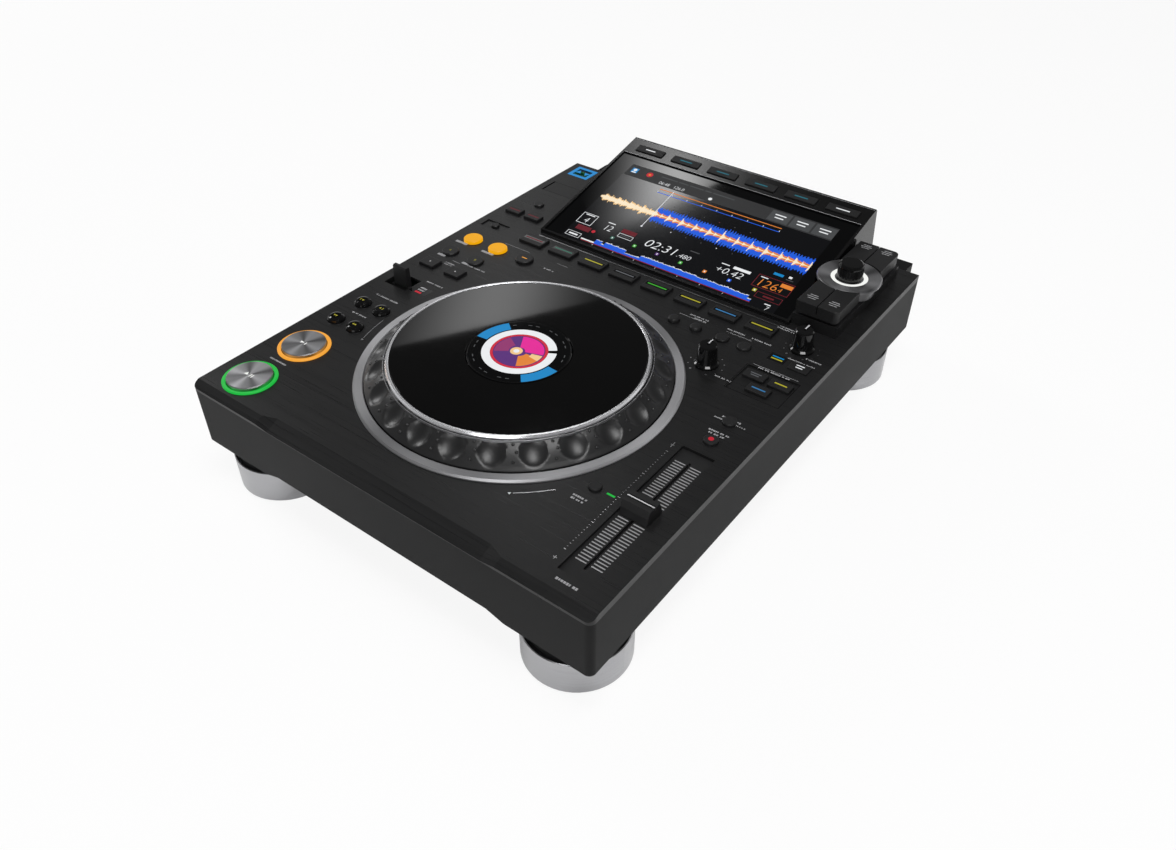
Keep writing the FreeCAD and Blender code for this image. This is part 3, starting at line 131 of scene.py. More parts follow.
class Finish:  # one material and its nodes
    def __init__(self, name, **sockets):
        self.material = bpy.data.materials.new(name)
        self.material.use_nodes = True
        self.tree = self.material.node_tree
        self.shader = self.tree.nodes["Principled BSDF"]
        self.spot = self.add("TexCoord", output="Object")
        for socket, value in sockets.items():
            self.set(socket.replace("_", " "), value)

    def add(self, kind, settings=(), output=0, **values):
        node = self.tree.nodes.new("ShaderNode" + kind)
        for name, value in dict(settings).items():
            if name == "stops":
                ramp = node.color_ramp.elements
                while len(ramp) < len(value):
                    ramp.new(0.5)
                for stop, (place, colour) in zip(ramp, value):
                    stop.position = place
                    stop.color = (*colour, 1.0)
            else:
                setattr(node, name, value)
        for name, value in values.items():
            plug(self.tree, node.inputs[name.replace("_", " ")], value)
        return Wire(self.tree, node.outputs[output])

    def set(self, socket, value):
        plug(self.tree, self.shader.inputs[socket], value)

    def stretched(self, scale, turn=(0, 0, 0), move=(0, 0, 0)):
        return self.add("Mapping", Vector=self.spot, Scale=scale, Rotation=turn, Location=move)

    def noise(self, scale, where=None, detail=3.0, rough=0.5):
        return self.add("TexNoise", Vector=where or self.spot, Scale=scale, Detail=detail, Roughness=rough)

    def blend(self, factor, low, high):
        node = self.tree.nodes.new("ShaderNodeMix")
        node.data_type = "RGBA"
        for place, value in ((0, factor), (6, low), (7, high)):
            plug(self.tree, node.inputs[place], value)
        return Wire(self.tree, node.outputs[2])

    def shades(self, factor, colour, low, high):
        return self.blend(factor, tuple(c * low for c in colour), tuple(c * high for c in colour))

    def bump(self, height, strength, distance):
        self.set("Normal", self.add("Bump", Height=height, Strength=strength, Distance=distance * mm))
        return self

    def axes(self):
        node = self.tree.nodes.new("ShaderNodeSeparateXYZ")
        self.tree.links.new(self.spot.socket, node.inputs[0])
        return [Wire(self.tree, socket) for socket in node.outputs]


def grey(level):
    return (level, level, level * 1.03)


def moulded(name, colour, roughness, grain=0.06, sheen=0.35):
    # moulded plastic: fine spark texture, slight cloudiness and faint handling marks
    finish = Finish(name, Specular_IOR_Level=sheen)
    cloud = finish.noise(9.0, detail=4.0)
    spark = finish.noise(2600.0, detail=2.0)
    finish.set("Base Color", finish.shades(cloud, colour, 0.82, 1.2))
    finish.set("Roughness", roughness + (cloud - 0.5) * 0.14 + (spark - 0.5) * 0.1)
    return finish.bump(spark, grain * 4, 0.05)


def hairline(name, colour, roughness, sheen=0.4):
    # brushed sheet painted black: long fine lines across the panel
    finish = Finish(name, Specular_IOR_Level=sheen)
    lines = finish.noise(1.0, finish.stretched((22, 5200, 22)), detail=5.0, rough=0.7)
    broad = finish.noise(1.0, finish.stretched((8, 900, 8)), detail=2.0)
    mark = lines * 0.7 + broad * 0.3
    finish.set("Base Color", finish.shades(mark, colour, 0.45, 1.75))
    finish.set("Roughness", roughness + (mark - 0.5) * 0.5)
    return finish.bump(mark, 0.35, 0.03)


def gloss(name, colour, roughness=0.06, sheen=0.5, coat=0.0):
    # polished plastic or glass: faint wipe marks and dust in the roughness
    finish = Finish(name, Specular_IOR_Level=sheen, Coat_Roughness=0.03)
    wipe = finish.noise(1.0, finish.stretched((26, 70, 26), turn=(0, 0, 0.5)), detail=5.0)
    dust = finish.noise(1500.0, detail=1.0)
    finish.set("Base Color", finish.shades(wipe, colour, 0.8, 1.2))
    finish.set("Roughness", roughness + wipe * 0.035 + (dust > 0.72) * 0.05)
    finish.set("Coat Weight", coat)
    return finish


def turnedMetalPaintedHighlights(name, colour, roughness, centres, metallic=1.0, dark=0.55, spokes=4.0, phase=0.9):
    # lathe turned face: painted highlight sectors by angle and fine turned rings round the nearest centre, both in the
    # base colour
    finish = Finish(name)
    x, y = finish.axes()[:2]
    dx, dy = x - centres[0][0], y - centres[0][1]
    for cx, cy in centres[1:]:
        here = (dx * dx + dy * dy) > ((x - cx) * (x - cx) + (y - cy) * (y - cy))
        dx = dx + (((x - cx) - dx) * here)
        dy = dy + (((y - cy) - dy) * here)
    angle = dy.maths("ARCTAN2", dy, dx)
    # painted highlight: bright and dark sectors by angle stand in for light reflected on the turned face
    wave = (angle * spokes + phase).sine()
    paintedFan = (angle * 9.0 + 2.0).sine()
    radius = (dx * dx + dy * dy) ** 0.5
    rings = finish.noise(1.0, finish.add("CombineXYZ", X=radius * 9000.0, Y=angle * 0.6, Z=0.0), detail=2.0)
    # base colour mixes the painted highlight sectors with the real turned rings
    shade = (wave * 0.5 + 0.5) * 0.62 + (paintedFan * 0.5 + 0.5) * 0.2 + rings * 0.3
    finish.set("Base Color", finish.blend(shade, tuple(c * dark for c in colour), colour))
    finish.set("Metallic", metallic)
    finish.set("Roughness", roughness + rings * 0.12)
    return finish.bump(rings, 0.1, 0.02)


def brushedRound(name, colour, roughness, metallic=1.0):
    # metal brushed round its upright axis
    finish = Finish(name)
    lines = finish.noise(1.0, finish.stretched((18, 18, 6500)), detail=4.0)
    broad = finish.noise(1.0, finish.stretched((30, 30, 260)), detail=2.0)
    finish.set("Base Color", finish.shades(lines, colour, 0.66, 1.12))
    finish.set("Metallic", metallic)
    finish.set("Roughness", roughness + (lines - 0.5) * 0.3 + broad * 0.08)
    return finish.bump(lines, 0.25, 0.02)


def rubber(name, colour):
    finish = Finish(name, Specular_IOR_Level=0.25)
    grain = finish.noise(1900.0, detail=3.0)
    smear = finish.noise(30.0, detail=3.0)
    finish.set("Base Color", finish.shades(smear, colour, 0.8, 1.25))
    finish.set("Roughness", 0.72 + (smear - 0.5) * 0.3)
    return finish.bump(grain, 0.4, 0.04)


def glowing(name, colour, strength, base=0.05):
    # lit plastic: a little unevenness over its area
    finish = Finish(name, Specular_IOR_Level=0.3)
    uneven = finish.noise(160.0, detail=2.0)
    finish.set("Base Color", tuple(c * base for c in colour))
    finish.set("Emission Color", finish.blend(uneven, tuple(c * 0.9 for c in colour), colour))
    finish.set("Emission Strength", strength)
    finish.set("Roughness", 0.35 + uneven * 0.1)
    return finish


def inked(name, colour, roughness=0.5):
    # screen-printed ink: slightly uneven cover
    finish = Finish(name, Specular_IOR_Level=0.3)
    cover = finish.noise(900.0, detail=2.0)
    finish.set("Base Color", finish.blend(cover, tuple(c * 0.85 for c in colour), colour))
    finish.set("Roughness", roughness + cover * 0.15)
    return finish


def boardGreen(name):
    finish = Finish(name, Specular_IOR_Level=0.4)
    tracks = finish.add("TexBrick", Vector=finish.stretched((90, 90, 90)), Color1=(0.01, 0.10, 0.04, 1),
                        Color2=(0.012, 0.13, 0.05, 1), Mortar=(0.05, 0.2, 0.06, 1), Scale=1.0)
    finish.set("Base Color", tracks)
    finish.set("Roughness", 0.35 + finish.noise(400.0) * 0.2)
    return finish


finishes = {
    "case": moulded("caseBlack", grey(0.0055), 0.5, 0.05, 0.12),
    "panel": hairline("panelBlack", grey(0.0085), 0.33, 0.3),
    "key": moulded("keyBlack", grey(0.013), 0.40, 0.04, 0.25),
    "ring": moulded("ringBlack", grey(0.012), 0.36, 0.05, 0.45),
    "gloss": gloss("glossBlack", grey(0.004), 0.05, 0.42),
    "housing": gloss("housingBlack", grey(0.005), 0.16, 0.38),
    "platter": gloss("platterBlack", grey(0.0012), 0.02, 0.42),
    "glass": gloss("screenGlass", (0.0014, 0.0015, 0.0017), 0.02, 0.32),
    "rubber": rubber("rubberBlack", grey(0.014)),
    "silver": brushedRound("footSilver", grey(0.50), 0.17),
    "chrome": gloss("chromeTrim", grey(0.80), 0.2, 0.5),
    "connector": brushedRound("connectorPlate", grey(0.42), 0.3),
    "board": boardGreen("boardGreen"),
    "ink": inked("whiteInk", grey(0.62)),
    "dimInk": inked("dimInk", grey(0.30)),
    "labelInk": inked("labelInk", grey(0.34)),
    "silverLine": brushedRound("silverLine", grey(0.62), 0.25),
}
finishes["chrome"].set("Metallic", 0.75)
for tint, colour, strength in (
        ("green", (0.012, 0.50, 0.055), 0.95), ("amber", (0.95, 0.40, 0.045), 0.95),
        ("white", (0.92, 0.93, 0.90), 1.0),
        ("domeAmber", (1.0, 0.45, 0.0), 0.85), ("red", (0.62, 0.015, 0.035), 0.8),
        ("darkRed", (0.17, 0.006, 0.016), 0.7), ("teal", (0.10, 0.42, 0.30), 0.32),
        ("yellow", (0.55, 0.50, 0.035), 0.75), ("padGreen", (0.06, 0.52, 0.035), 0.75),
        # the grey bars of keys that are off still get a faint emission here: painted glow
        ("padBlue", (0.06, 0.28, 0.62), 0.6), ("unlit", (0.22, 0.23, 0.25), 0.45),
        ("blue", (0.008, 0.105, 0.74), 0.95), ("orange", (0.82, 0.24, 0.03), 0.9),
        ("paleOrange", (0.96, 0.62, 0.28), 0.9), ("cream", (1.0, 0.84, 0.60), 0.95),
        ("screenWhite", (0.86, 0.88, 0.90), 0.95), ("screenGrey", (0.10, 0.105, 0.11), 0.55),
        ("barGrey", (0.045, 0.046, 0.048), 0.5), ("cyan", (0.0, 0.25, 0.60), 0.9),
        ("usbBlue", (0.012, 0.30, 0.75), 0.8), ("keyTeal", (0.02, 0.22, 0.30), 0.7),
        ("pink", (0.84, 0.012, 0.33), 0.9), ("purple", (0.10, 0.02, 0.20), 0.9),
        ("plum", (0.30, 0.03, 0.16), 0.9), ("artRed", (0.62, 0.01, 0.04), 0.95)):
    finishes[tint] = glowing(tint + "Light", colour, strength)
print("materials made")

transport = {"x": -137.0, "play": -200.0, "cue": -154.0}
jog = {"y": -86.0, "dimples": 24}
knobSpots = ((95.0, -4.5), (138.5, 49.5))
browse = {"x": 134.0, "y": 126.5}

capCentres = [(transport["x"] * mm, transport[button] * mm) for button in ("play", "cue")]
jogCentre = (0.0, jog["y"] * mm)
browseCentre = (browse["x"] * mm, browse["y"] * mm)
# painted highlights on the caps, the bezel (lighter at left and right, darker at front and back) and the selector ring
finishes["cap"] = turnedMetalPaintedHighlights("turnedCapPaintedHighlights", grey(0.62), 0.3, capCentres, dark=0.12)
finishes["bezel"] = turnedMetalPaintedHighlights("bezelGreyPaintedHighlights", grey(0.62), 0.34, [jogCentre], metallic=0.75, dark=0.2, spokes=2.0,
                                phase=1.57)
finishes["turnedBlackPaintedHighlights"] = turnedMetalPaintedHighlights("turnedBlackPaintedHighlights", grey(0.28), 0.26, [browseCentre], metallic=0.55, dark=0.04)

nodeFinish = {
    "lower_case": "case", "top_panel": "panel", "feet": "silver", "foot_pads": "rubber", "jog_bezel": "bezel",
    "jog_post": "case", "jog_display": "glass", "jog_trim": "chrome", "jog_platter": "platter",
    "fader_plate": "key", "fader_unit": "connector", "tempo_slider": "key", "screen_housing": "housing",
    "display_glass": "glass", "rear_panel": "case", "rear_sockets": "connector", "control_board": "board",
    "main_board": "board", "power_supply": "connector", "browse_ring": "turnedBlackPaintedHighlights",
    "browse_shaft": "connector", "browse_knob": "gloss", "feel_knob": "gloss", "release_knob": "gloss",
    "play_button": "cap", "cue_button": "cap", "loop_keys": "domeAmber", "direction_lever": "key",
    "search_keys": "gloss", "track_keys": "gloss", "screen_keys": "key", "light_rings": "white"}


def dress(node, finish):
    mesh = nodes[node].data
    mesh.materials.clear()
    mesh.materials.append(finishes[finish].material)


for node in nodes:
    dress(node, nodeFinish.get(node, "key"))


# building helpers

def piece(name, shape, body, slot, *look, place=None, smooth=None):
    # writes a bmesh to a new object that rides on a body
    if place is not None:
        bmesh.ops.transform(shape, matrix=place, verts=shape.verts)
    bmesh.ops.scale(shape, vec=(mm, mm, mm), verts=shape.verts)
    mesh = bpy.data.meshes.new(name)
    shape.to_mesh(mesh)
    shape.free()
    for finish in look:
        mesh.materials.append(finishes[finish].material)
    if smooth is not None:
        mesh.shade_smooth()
        mesh.set_sharp_from_angle(angle=math.radians(smooth))
    made = bpy.data.objects.new(name, mesh)
    bpy.context.scene.collection.objects.link(made)
    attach(made, body)
    return made


def tint(shape, before, slotIndex):
    for face in shape.faces:
        if face not in before:
            face.material_index = slotIndex


def slab(shape, x, y, wide, deep, z=0.0, turn=0.0, index=0):
    # flat rectangle facing up
    known = set(shape.faces)
    place = Matrix.Translation((x, y, z)) @ Matrix.Rotation(math.radians(turn), 4, "Z") @ \
        Matrix.Diagonal((wide, deep, 1, 1))
    bmesh.ops.create_grid(shape, x_segments=1, y_segments=1, size=0.5, matrix=place)
    tint(shape, known, index)


def spot(shape, x, y, radius, z=0.0, index=0, sides=20):
    known = set(shape.faces)
    bmesh.ops.create_circle(shape, cap_ends=True, segments=sides, radius=radius,
                            matrix=Matrix.Translation((x, y, z)))
    tint(shape, known, index)


def band(shape, x, y, inner, outer, start=0.0, sweep=360.0, z=0.0, index=0, steps=None):
    # flat ring or part of one, spun from its radial edge
    known = set(shape.faces)
    turn = math.radians(start)
    ends = [shape.verts.new((x + r * math.cos(turn), y + r * math.sin(turn), z)) for r in (inner, outer)]
    edge = shape.edges.new(ends)
    full = abs(sweep) >= 360
    bmesh.ops.spin(shape, geom=ends + [edge], cent=(x, y, z), axis=(0, 0, 1), angle=math.radians(sweep),
                   steps=steps or max(4, int(abs(sweep) / 5)), use_merge=full, use_duplicate=False)
    made = [face for face in shape.faces if face not in known]
    bmesh.ops.recalc_face_normals(shape, faces=made)
    if made and made[0].normal.z < 0:
        bmesh.ops.reverse_faces(shape, faces=made)
    tint(shape, known, index)


def outlineFrame(shape, x, y, wide, deep, line, z=0.0, index=0):
    # four strips round a rectangle
    for side in (-1, 1):
        slab(shape, x + side * (wide - line) / 2, y, line, deep, z, 0, index)
        slab(shape, x, y + side * (deep - line) / 2, wide - 2 * line, line, z, 0, index)


def arrow(shape, x, y, size, turn, z=0.0, index=0):
    known = set(shape.faces)
    place = Matrix.Translation((x, y, z)) @ Matrix.Rotation(math.radians(turn), 4, "Z")
    bmesh.ops.create_circle(shape, cap_ends=True, segments=3, radius=size, matrix=place)
    tint(shape, known, index)


def legendRow(shape, x, y, wide, tall, z=0.0, index=0, seed=1):
    # a row of short blocks in place of a line of lettering
    random.seed(seed)
    at = x - wide / 2
    while at < x + wide / 2 - tall * 0.5:
        long = min(tall * random.uniform(0.5, 0.95), x + wide / 2 - at)
        slab(shape, at + long / 2, y, long, tall * random.uniform(0.8, 1.0), z, 0, index)
        at += long + tall * random.choice((0.22, 0.22, 0.22, 0.8))


def digits(shape, text, x, y, height, z=0.0, index=0, slant=0.0, wide=1.0, centre=False):
    # numerals as filled faces, left end at x and foot at y
    curve = bpy.data.curves.new("numerals", "FONT")
    curve.body = text
    curve.size = height * 1.37
    curve.offset = -0.017 * height
    curve.shear = slant
    curve.align_x = "CENTER" if centre else "LEFT"
    holder = bpy.data.objects.new("numerals", curve)
    mesh = bpy.data.meshes.new_from_object(holder)
    mesh.transform(Matrix.Translation((x, y, z)) @ Matrix.Diagonal((wide, 1, 1, 1)))
    known = set(shape.faces)
    shape.from_mesh(mesh)
    tint(shape, known, index)
    bpy.data.objects.remove(holder)
    bpy.data.curves.remove(curve)
    bpy.data.meshes.remove(mesh)


# jog wheel: a smooth rim with pressed finger dimples replaces the faceted one

onJog = Matrix.Translation((0, jog["y"], 0))
rim = {"outer": 102.7, "shoulder": 87.5, "inner": 37.4, "lowZ": 84.0, "shoulderZ": 97.2,
       "edgeZ": 87.6, "dimpleRadius": 8.6, "dimpleDepth": 3.1, "steps": 480, "dot": 1.15,
       "edge": 2.2, "hubZ": 74.2}


def rimSlope(radius):
    # height of the sloping face, a slight crown between shoulder and outer edge
    share = (radius - rim["shoulder"]) / (rim["outer"] - rim["edge"] - rim["shoulder"])
    share = min(max(share, 0.0), 1.0)
    return rim["shoulderZ"] + (rim["edgeZ"] - rim["shoulderZ"]) * share + 0.9 * math.sin(math.pi * share)


def jogRim():
    shape = bmesh.new()
    rows = 26
    outer, inner, lowZ = rim["outer"], rim["inner"], rim["lowZ"]
    shoulder, shoulderZ = rim["shoulder"], rim["shoulderZ"]
    edge = outer - rim["edge"]
    outline = [(outer - 0.6, lowZ), (outer, lowZ + 0.6), (outer, lowZ + 1.8), (outer - 0.9, rim["edgeZ"] - 1.0)]
    for i in range(rows + 1):
        radius = edge + (shoulder - edge) * i / rows
        outline.append((radius, rimSlope(radius)))
    outline += [(shoulder - 2.0, shoulderZ), (shoulder - 5.3, shoulderZ), (shoulder - 5.3, shoulderZ - 2.0),
                (shoulder - 2.3, shoulderZ - 3.2), (outer - 8.0, lowZ + 3.2), (inner, lowZ + 3.2),
                (inner, rim["hubZ"]), (inner + 3.0, rim["hubZ"]), (inner + 3.0, lowZ), (outer - 0.6, lowZ)]
    points = [shape.verts.new((r, 0, z)) for r, z in outline]
    edges = [shape.edges.new(pair) for pair in zip(points, points[1:])]
    bmesh.ops.spin(shape, geom=points + edges, cent=(0, 0, 0), axis=(0, 0, 1), angle=2 * math.pi,
                   steps=rim["steps"], use_merge=True, use_duplicate=False)
    bmesh.ops.remove_doubles(shape, verts=shape.verts, dist=0.001)
    bmesh.ops.recalc_face_normals(shape, faces=shape.faces)
    middle = (edge + shoulder) / 2
    lean = math.atan2(shoulderZ - rim["edgeZ"], edge - shoulder)
    pitch = 2 * math.pi / jog["dimples"]
    for vert in shape.verts:
        radius = math.hypot(vert.co.x, vert.co.y)
        if radius < shoulder - 0.01 or vert.co.z < rim["edgeZ"] - 0.2 or radius > rim["outer"] - 2.0:
            continue
        angle = math.atan2(vert.co.y, vert.co.x)
        offset = (angle / pitch - round(angle / pitch)) * pitch * middle
        along = (radius - middle) / math.cos(lean)
        away = math.hypot(offset, along) / rim["dimpleRadius"]
        if away < 1:
            sink = rim["dimpleDepth"] * (1 - away * away) ** 0.8
            vert.co.z -= sink * math.cos(lean)
            vert.co.x -= sink * math.sin(lean) * math.cos(angle)
            vert.co.y -= sink * math.sin(lean) * math.sin(angle)
    made = piece("jogRim", shape, "jog_ring", "case_black", "ring", place=onJog,
                 smooth=32)
    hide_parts("jog_ring")


def jogDots():
    # three small raised dots in each gap between the dimples
    shape = bmesh.new()
    for i in range(jog["dimples"]):
        for column, radius in enumerate((90.0, 94.0, 98.6)):
            angle = (i + 0.5) * 2 * math.pi / jog["dimples"] + (0.026 if column == 1 else 0.004)
            x, y = radius * math.cos(angle), radius * math.sin(angle)
            place = Matrix.Translation((x, y, rimSlope(radius) - 0.15))
            bmesh.ops.create_uvsphere(shape, u_segments=10, v_segments=6, radius=rim["dot"],
                                      matrix=place @ Matrix.Diagonal((1, 1, 0.75, 1)))
    piece("jogDots", shape, "jog_ring", "case_black", "ring", place=onJog, smooth=60)


def ringPiece(name, body, slot, look, inner, outer, low, high, edge=0.2, place=None, steps=180):
    # a turned ring with eased edges
    shape = bmesh.new()
    outline = [(inner, low), (outer, low), (outer, high - edge), (outer - edge, high), (inner + edge, high),
               (inner, high - edge), (inner, low)]
    points = [shape.verts.new((r, 0, z)) for r, z in outline]
    edges = [shape.edges.new(pair) for pair in zip(points, points[1:])]
    bmesh.ops.spin(shape, geom=points + edges, cent=(0, 0, 0), axis=(0, 0, 1), angle=2 * math.pi, steps=steps,
                   use_merge=True, use_duplicate=False)
    bmesh.ops.remove_doubles(shape, verts=shape.verts, dist=0.001)
    bmesh.ops.recalc_face_normals(shape, faces=shape.faces)
    return piece(name, shape, body, slot, look, place=place or onJog, smooth=35)


jogRim()
jogDots()
ringPiece("rimLine", "jog_ring", "chrome", "silverLine", 88.6, 89.1, 96.0, 97.55, 0.1)
print("jog wheel made")


# jog display: a generic disc design behind the window

art = {"arc": (26.0, 34.0), "arcs": ((142.0, 44.0), (-48.0, 44.0))}


def jogArt():
    shape = bmesh.new()
    looks = ("artRed", "screenWhite", "cyan", "pink", "orange", "purple", "plum", "screenGrey", "paleOrange")
    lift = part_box("jog_display")[1].z / mm + 0.04
    spot(shape, 0, 0, 17.2, lift, 5, 60)
    band(shape, 0, 0, 17.3, 19.2, z=lift + 0.01, index=0)
    band(shape, 0, 0, 19.3, 25.0, start=38, sweep=352, z=lift + 0.01, index=1)
    for start, sweep in art["arcs"]:
        band(shape, 0, 0, *art["arc"], start=start, sweep=sweep, z=lift + 0.01, index=2)
    # inside: quarter leaves of warm colour round an off-centre sun
    for i, (start, sweep, inner, outer, index) in enumerate((
            (20, 100, 4.0, 16.6, 3), (-58, 62, 5.5, 16.6, 4), (150, 66, 7.0, 16.6, 6), (-6, 22, 9.0, 16.6, 8),
            (236, 46, 3.0, 12.0, 5), (122, 24, 10.0, 16.6, 5))):
        band(shape, 0, 0, inner, outer, start=start, sweep=sweep, z=lift + 0.02 + i * 0.005, index=index)
    spot(shape, -1.5, -1.0, 4.2, lift + 0.06, 8, 32)
    spot(shape, -1.5, -1.0, 2.0, lift + 0.07, 1, 24)
    for i in range(36):
        if i % 3:
            angle = i * 10.0 + 3.0
            if 142 < angle % 360 < 186 or angle % 360 > 312:
                continue
            band(shape, 0, 0, 30.2, 30.9, start=angle, sweep=5.0, z=lift + 0.01, index=7, steps=3)
    piece("jogDisplayArt", shape, "player", "light_guide", *looks, place=onJog)


jogArt()
ringPiece("displayRing", "player", "gloss_black", "gloss", 33.9, 34.7, 98.8, 99.2, 0.1)
print("jog display made")


# transport buttons and their light rings

def lightRing(name, x, y, inner, outer, low, high, look):
    ringPiece(name, "player", "light_guide", look, inner, outer, low, high, 0.5,
              Matrix.Translation((x, y, 0)), 96)


rings = {"low": 83.05, "high": 84.3, "inner": 15.7, "outer": 18.3}
lightRing("playRing", transport["x"], transport["play"], rings["inner"], rings["outer"], rings["low"],
          rings["high"], "green")
lightRing("cueRing", transport["x"], transport["cue"], rings["inner"], rings["outer"], rings["low"],
          rings["high"], "amber")
lightRing("browseGlow", browse["x"], browse["y"], 10.4, 13.4, 101.0, 101.85, "white")
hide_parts("light_rings")


def transportMarks():
    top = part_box("play_button")[1].z / mm + 0.04
    shape = bmesh.new()
    arrow(shape, -2.6, 0, 1.9, 0)
    for x in (1.2, 3.1):
        slab(shape, x, 0, 0.9, 3.2)
    piece("playMark", shape, "play_button", "light_guide", "white",
          place=Matrix.Translation((transport["x"], transport["play"], top)))
    shape = bmesh.new()
    slab(shape, 1.9, 0, 0.8, 2.8)
    slab(shape, -1.0, 0, 2.8, 0.6)
    arrow(shape, -2.0, 0, 1.5, 180)
    piece("cueMark", shape, "cue_button", "light_guide", "white",
          place=Matrix.Translation((transport["x"], transport["cue"], top)))


transportMarks()
print("transport buttons made")


# main display

screen = {"frontY": 70.0, "frontZ": 86.0, "topY": 204.3, "topZ": 118.0, "sink": 1.2, "left": -90.5, "right": 103.0,
          "near": 2.6, "far": 106.6, "waveV": 58.5}
tilt = math.atan2(screen["topZ"] - screen["frontZ"], screen["topY"] - screen["frontY"])
onFace = Matrix.Translation((0, screen["frontY"], screen["frontZ"])) @ Matrix.Rotation(tilt, 4, "X")
onGlass = onFace @ Matrix.Translation((0, 0, -screen["sink"] + 0.05))


def screenBack():
    shape = bmesh.new()
    wide = screen["right"] - screen["left"]
    middle = (screen["right"] + screen["left"]) / 2
    slab(shape, middle, (screen["near"] + screen["far"]) / 2, wide, screen["far"] - screen["near"])
    return piece("screenPanel", shape, "player", "screen_glass", "panelDark", place=onGlass)


def panelDark():
    # active area: near black with a faint, uneven cool glow
    finish = Finish("panelDarkLight", Specular_IOR_Level=0.4)
    uneven = finish.noise(14.0, detail=2.0)
    finish.set("Base Color", (0.002, 0.002, 0.0025))
    finish.set("Emission Color", finish.blend(uneven, (0.0016, 0.0018, 0.0022), (0.003, 0.0033, 0.004)))
    finish.set("Emission Strength", 1.0)
    finish.set("Roughness", 0.06 + uneven * 0.03)
    return finish


finishes["panelDark"] = panelDark()
wave = {"start": -90.0, "blueFrom": -36.8, "end": 103.0, "half": 10.4, "step": 0.62, "beat": 12.6}


def waveform():
    # upright strips of three colours; a beat pulse shapes their heights
    random.seed(31)
    shape = bmesh.new()
    count = int((wave["end"] - wave["start"]) / wave["step"])
    for i in range(count):
        x = wave["start"] + (i + 0.5) * wave["step"]
        phase = ((x - wave["blueFrom"]) / wave["beat"]) % 1.0
        pulse = math.exp(-4.5 * phase) + 0.55 * math.exp(-5.0 * ((phase + 0.5) % 1.0))
        jitter = random.uniform(0.62, 1.0)
        if x < wave["blueFrom"]:
            edge = min(1.0, (x - wave["start"]) / 6.0 + 0.3)
            tall = (2.2 + 4.4 * pulse) * jitter * edge + 0.6
            slab(shape, x, screen["waveV"], wave["step"] * 1.05, tall * 2, 0.02, index=3)
            slab(shape, x, screen["waveV"], wave["step"] * 1.05, tall * 1.35, 0.03, index=2)
        else:
            fold = abs((phase * 5.0) % 1.0 - 0.5) * 2.0
            body = (0.62 + 0.38 * fold ** 0.7) * random.uniform(0.86, 1.0)
            middle = screen["waveV"] + random.uniform(-0.5, 0.5)
            slab(shape, x, middle, wave["step"] * 1.05, 2 * wave["half"] * body, 0.02, index=0)
            slab(shape, x, screen["waveV"], wave["step"] * 1.05, 2 * (2.2 + 2.6 * pulse) * jitter, 0.03, index=1)
            slab(shape, x, screen["waveV"], wave["step"] * 1.05, 2 * (0.3 + 7.4 * pulse ** 2.2 * jitter), 0.04,
                 index=2)
    piece("screenWave", shape, "player", "light_guide", "blue", "orange", "cream", "paleOrange", place=onGlass)


def overview():
    random.seed(7)
    shape = bmesh.new()
    low, left, right, step = 6.0, -73.0, 82.0, 0.55
    level = 0.5
    for i in range(int((right - left) / step)):
        x = left + (i + 0.5) * step
        share = (x - left) / (right - left)
        quiet = 0.12 < share < 0.14 or 0.27 < share < 0.36 or share > 0.975
        level += (random.uniform(0.35, 1.0) - level) * 0.35
        tall = (1.0 + 1.6 * level) if quiet else (3.2 + 2.6 * level)
        if share < 0.08:
            slab(shape, x, low + 0.9, step * 1.04, 0.8 + level, 0.02, index=1)
            continue
        slab(shape, x, low + tall / 2, step * 1.04, tall, 0.02, index=0)
        crest = 0.35 + 2.6 * max(0.0, level - 0.5) * random.random()
        slab(shape, x, low + tall + crest / 2, step * 1.04, crest, 0.02, index=1)
    slab(shape, (left + right) / 2, low - 0.5, right - left, 0.35, 0.02, index=2)
    for x in range(-60, 80, 20):
        slab(shape, x, low - 1.6, 0.3, 1.4, 0.02, index=1)
    piece("screenOverview", shape, "player", "light_guide", "blue", "screenWhite", "red", place=onGlass)


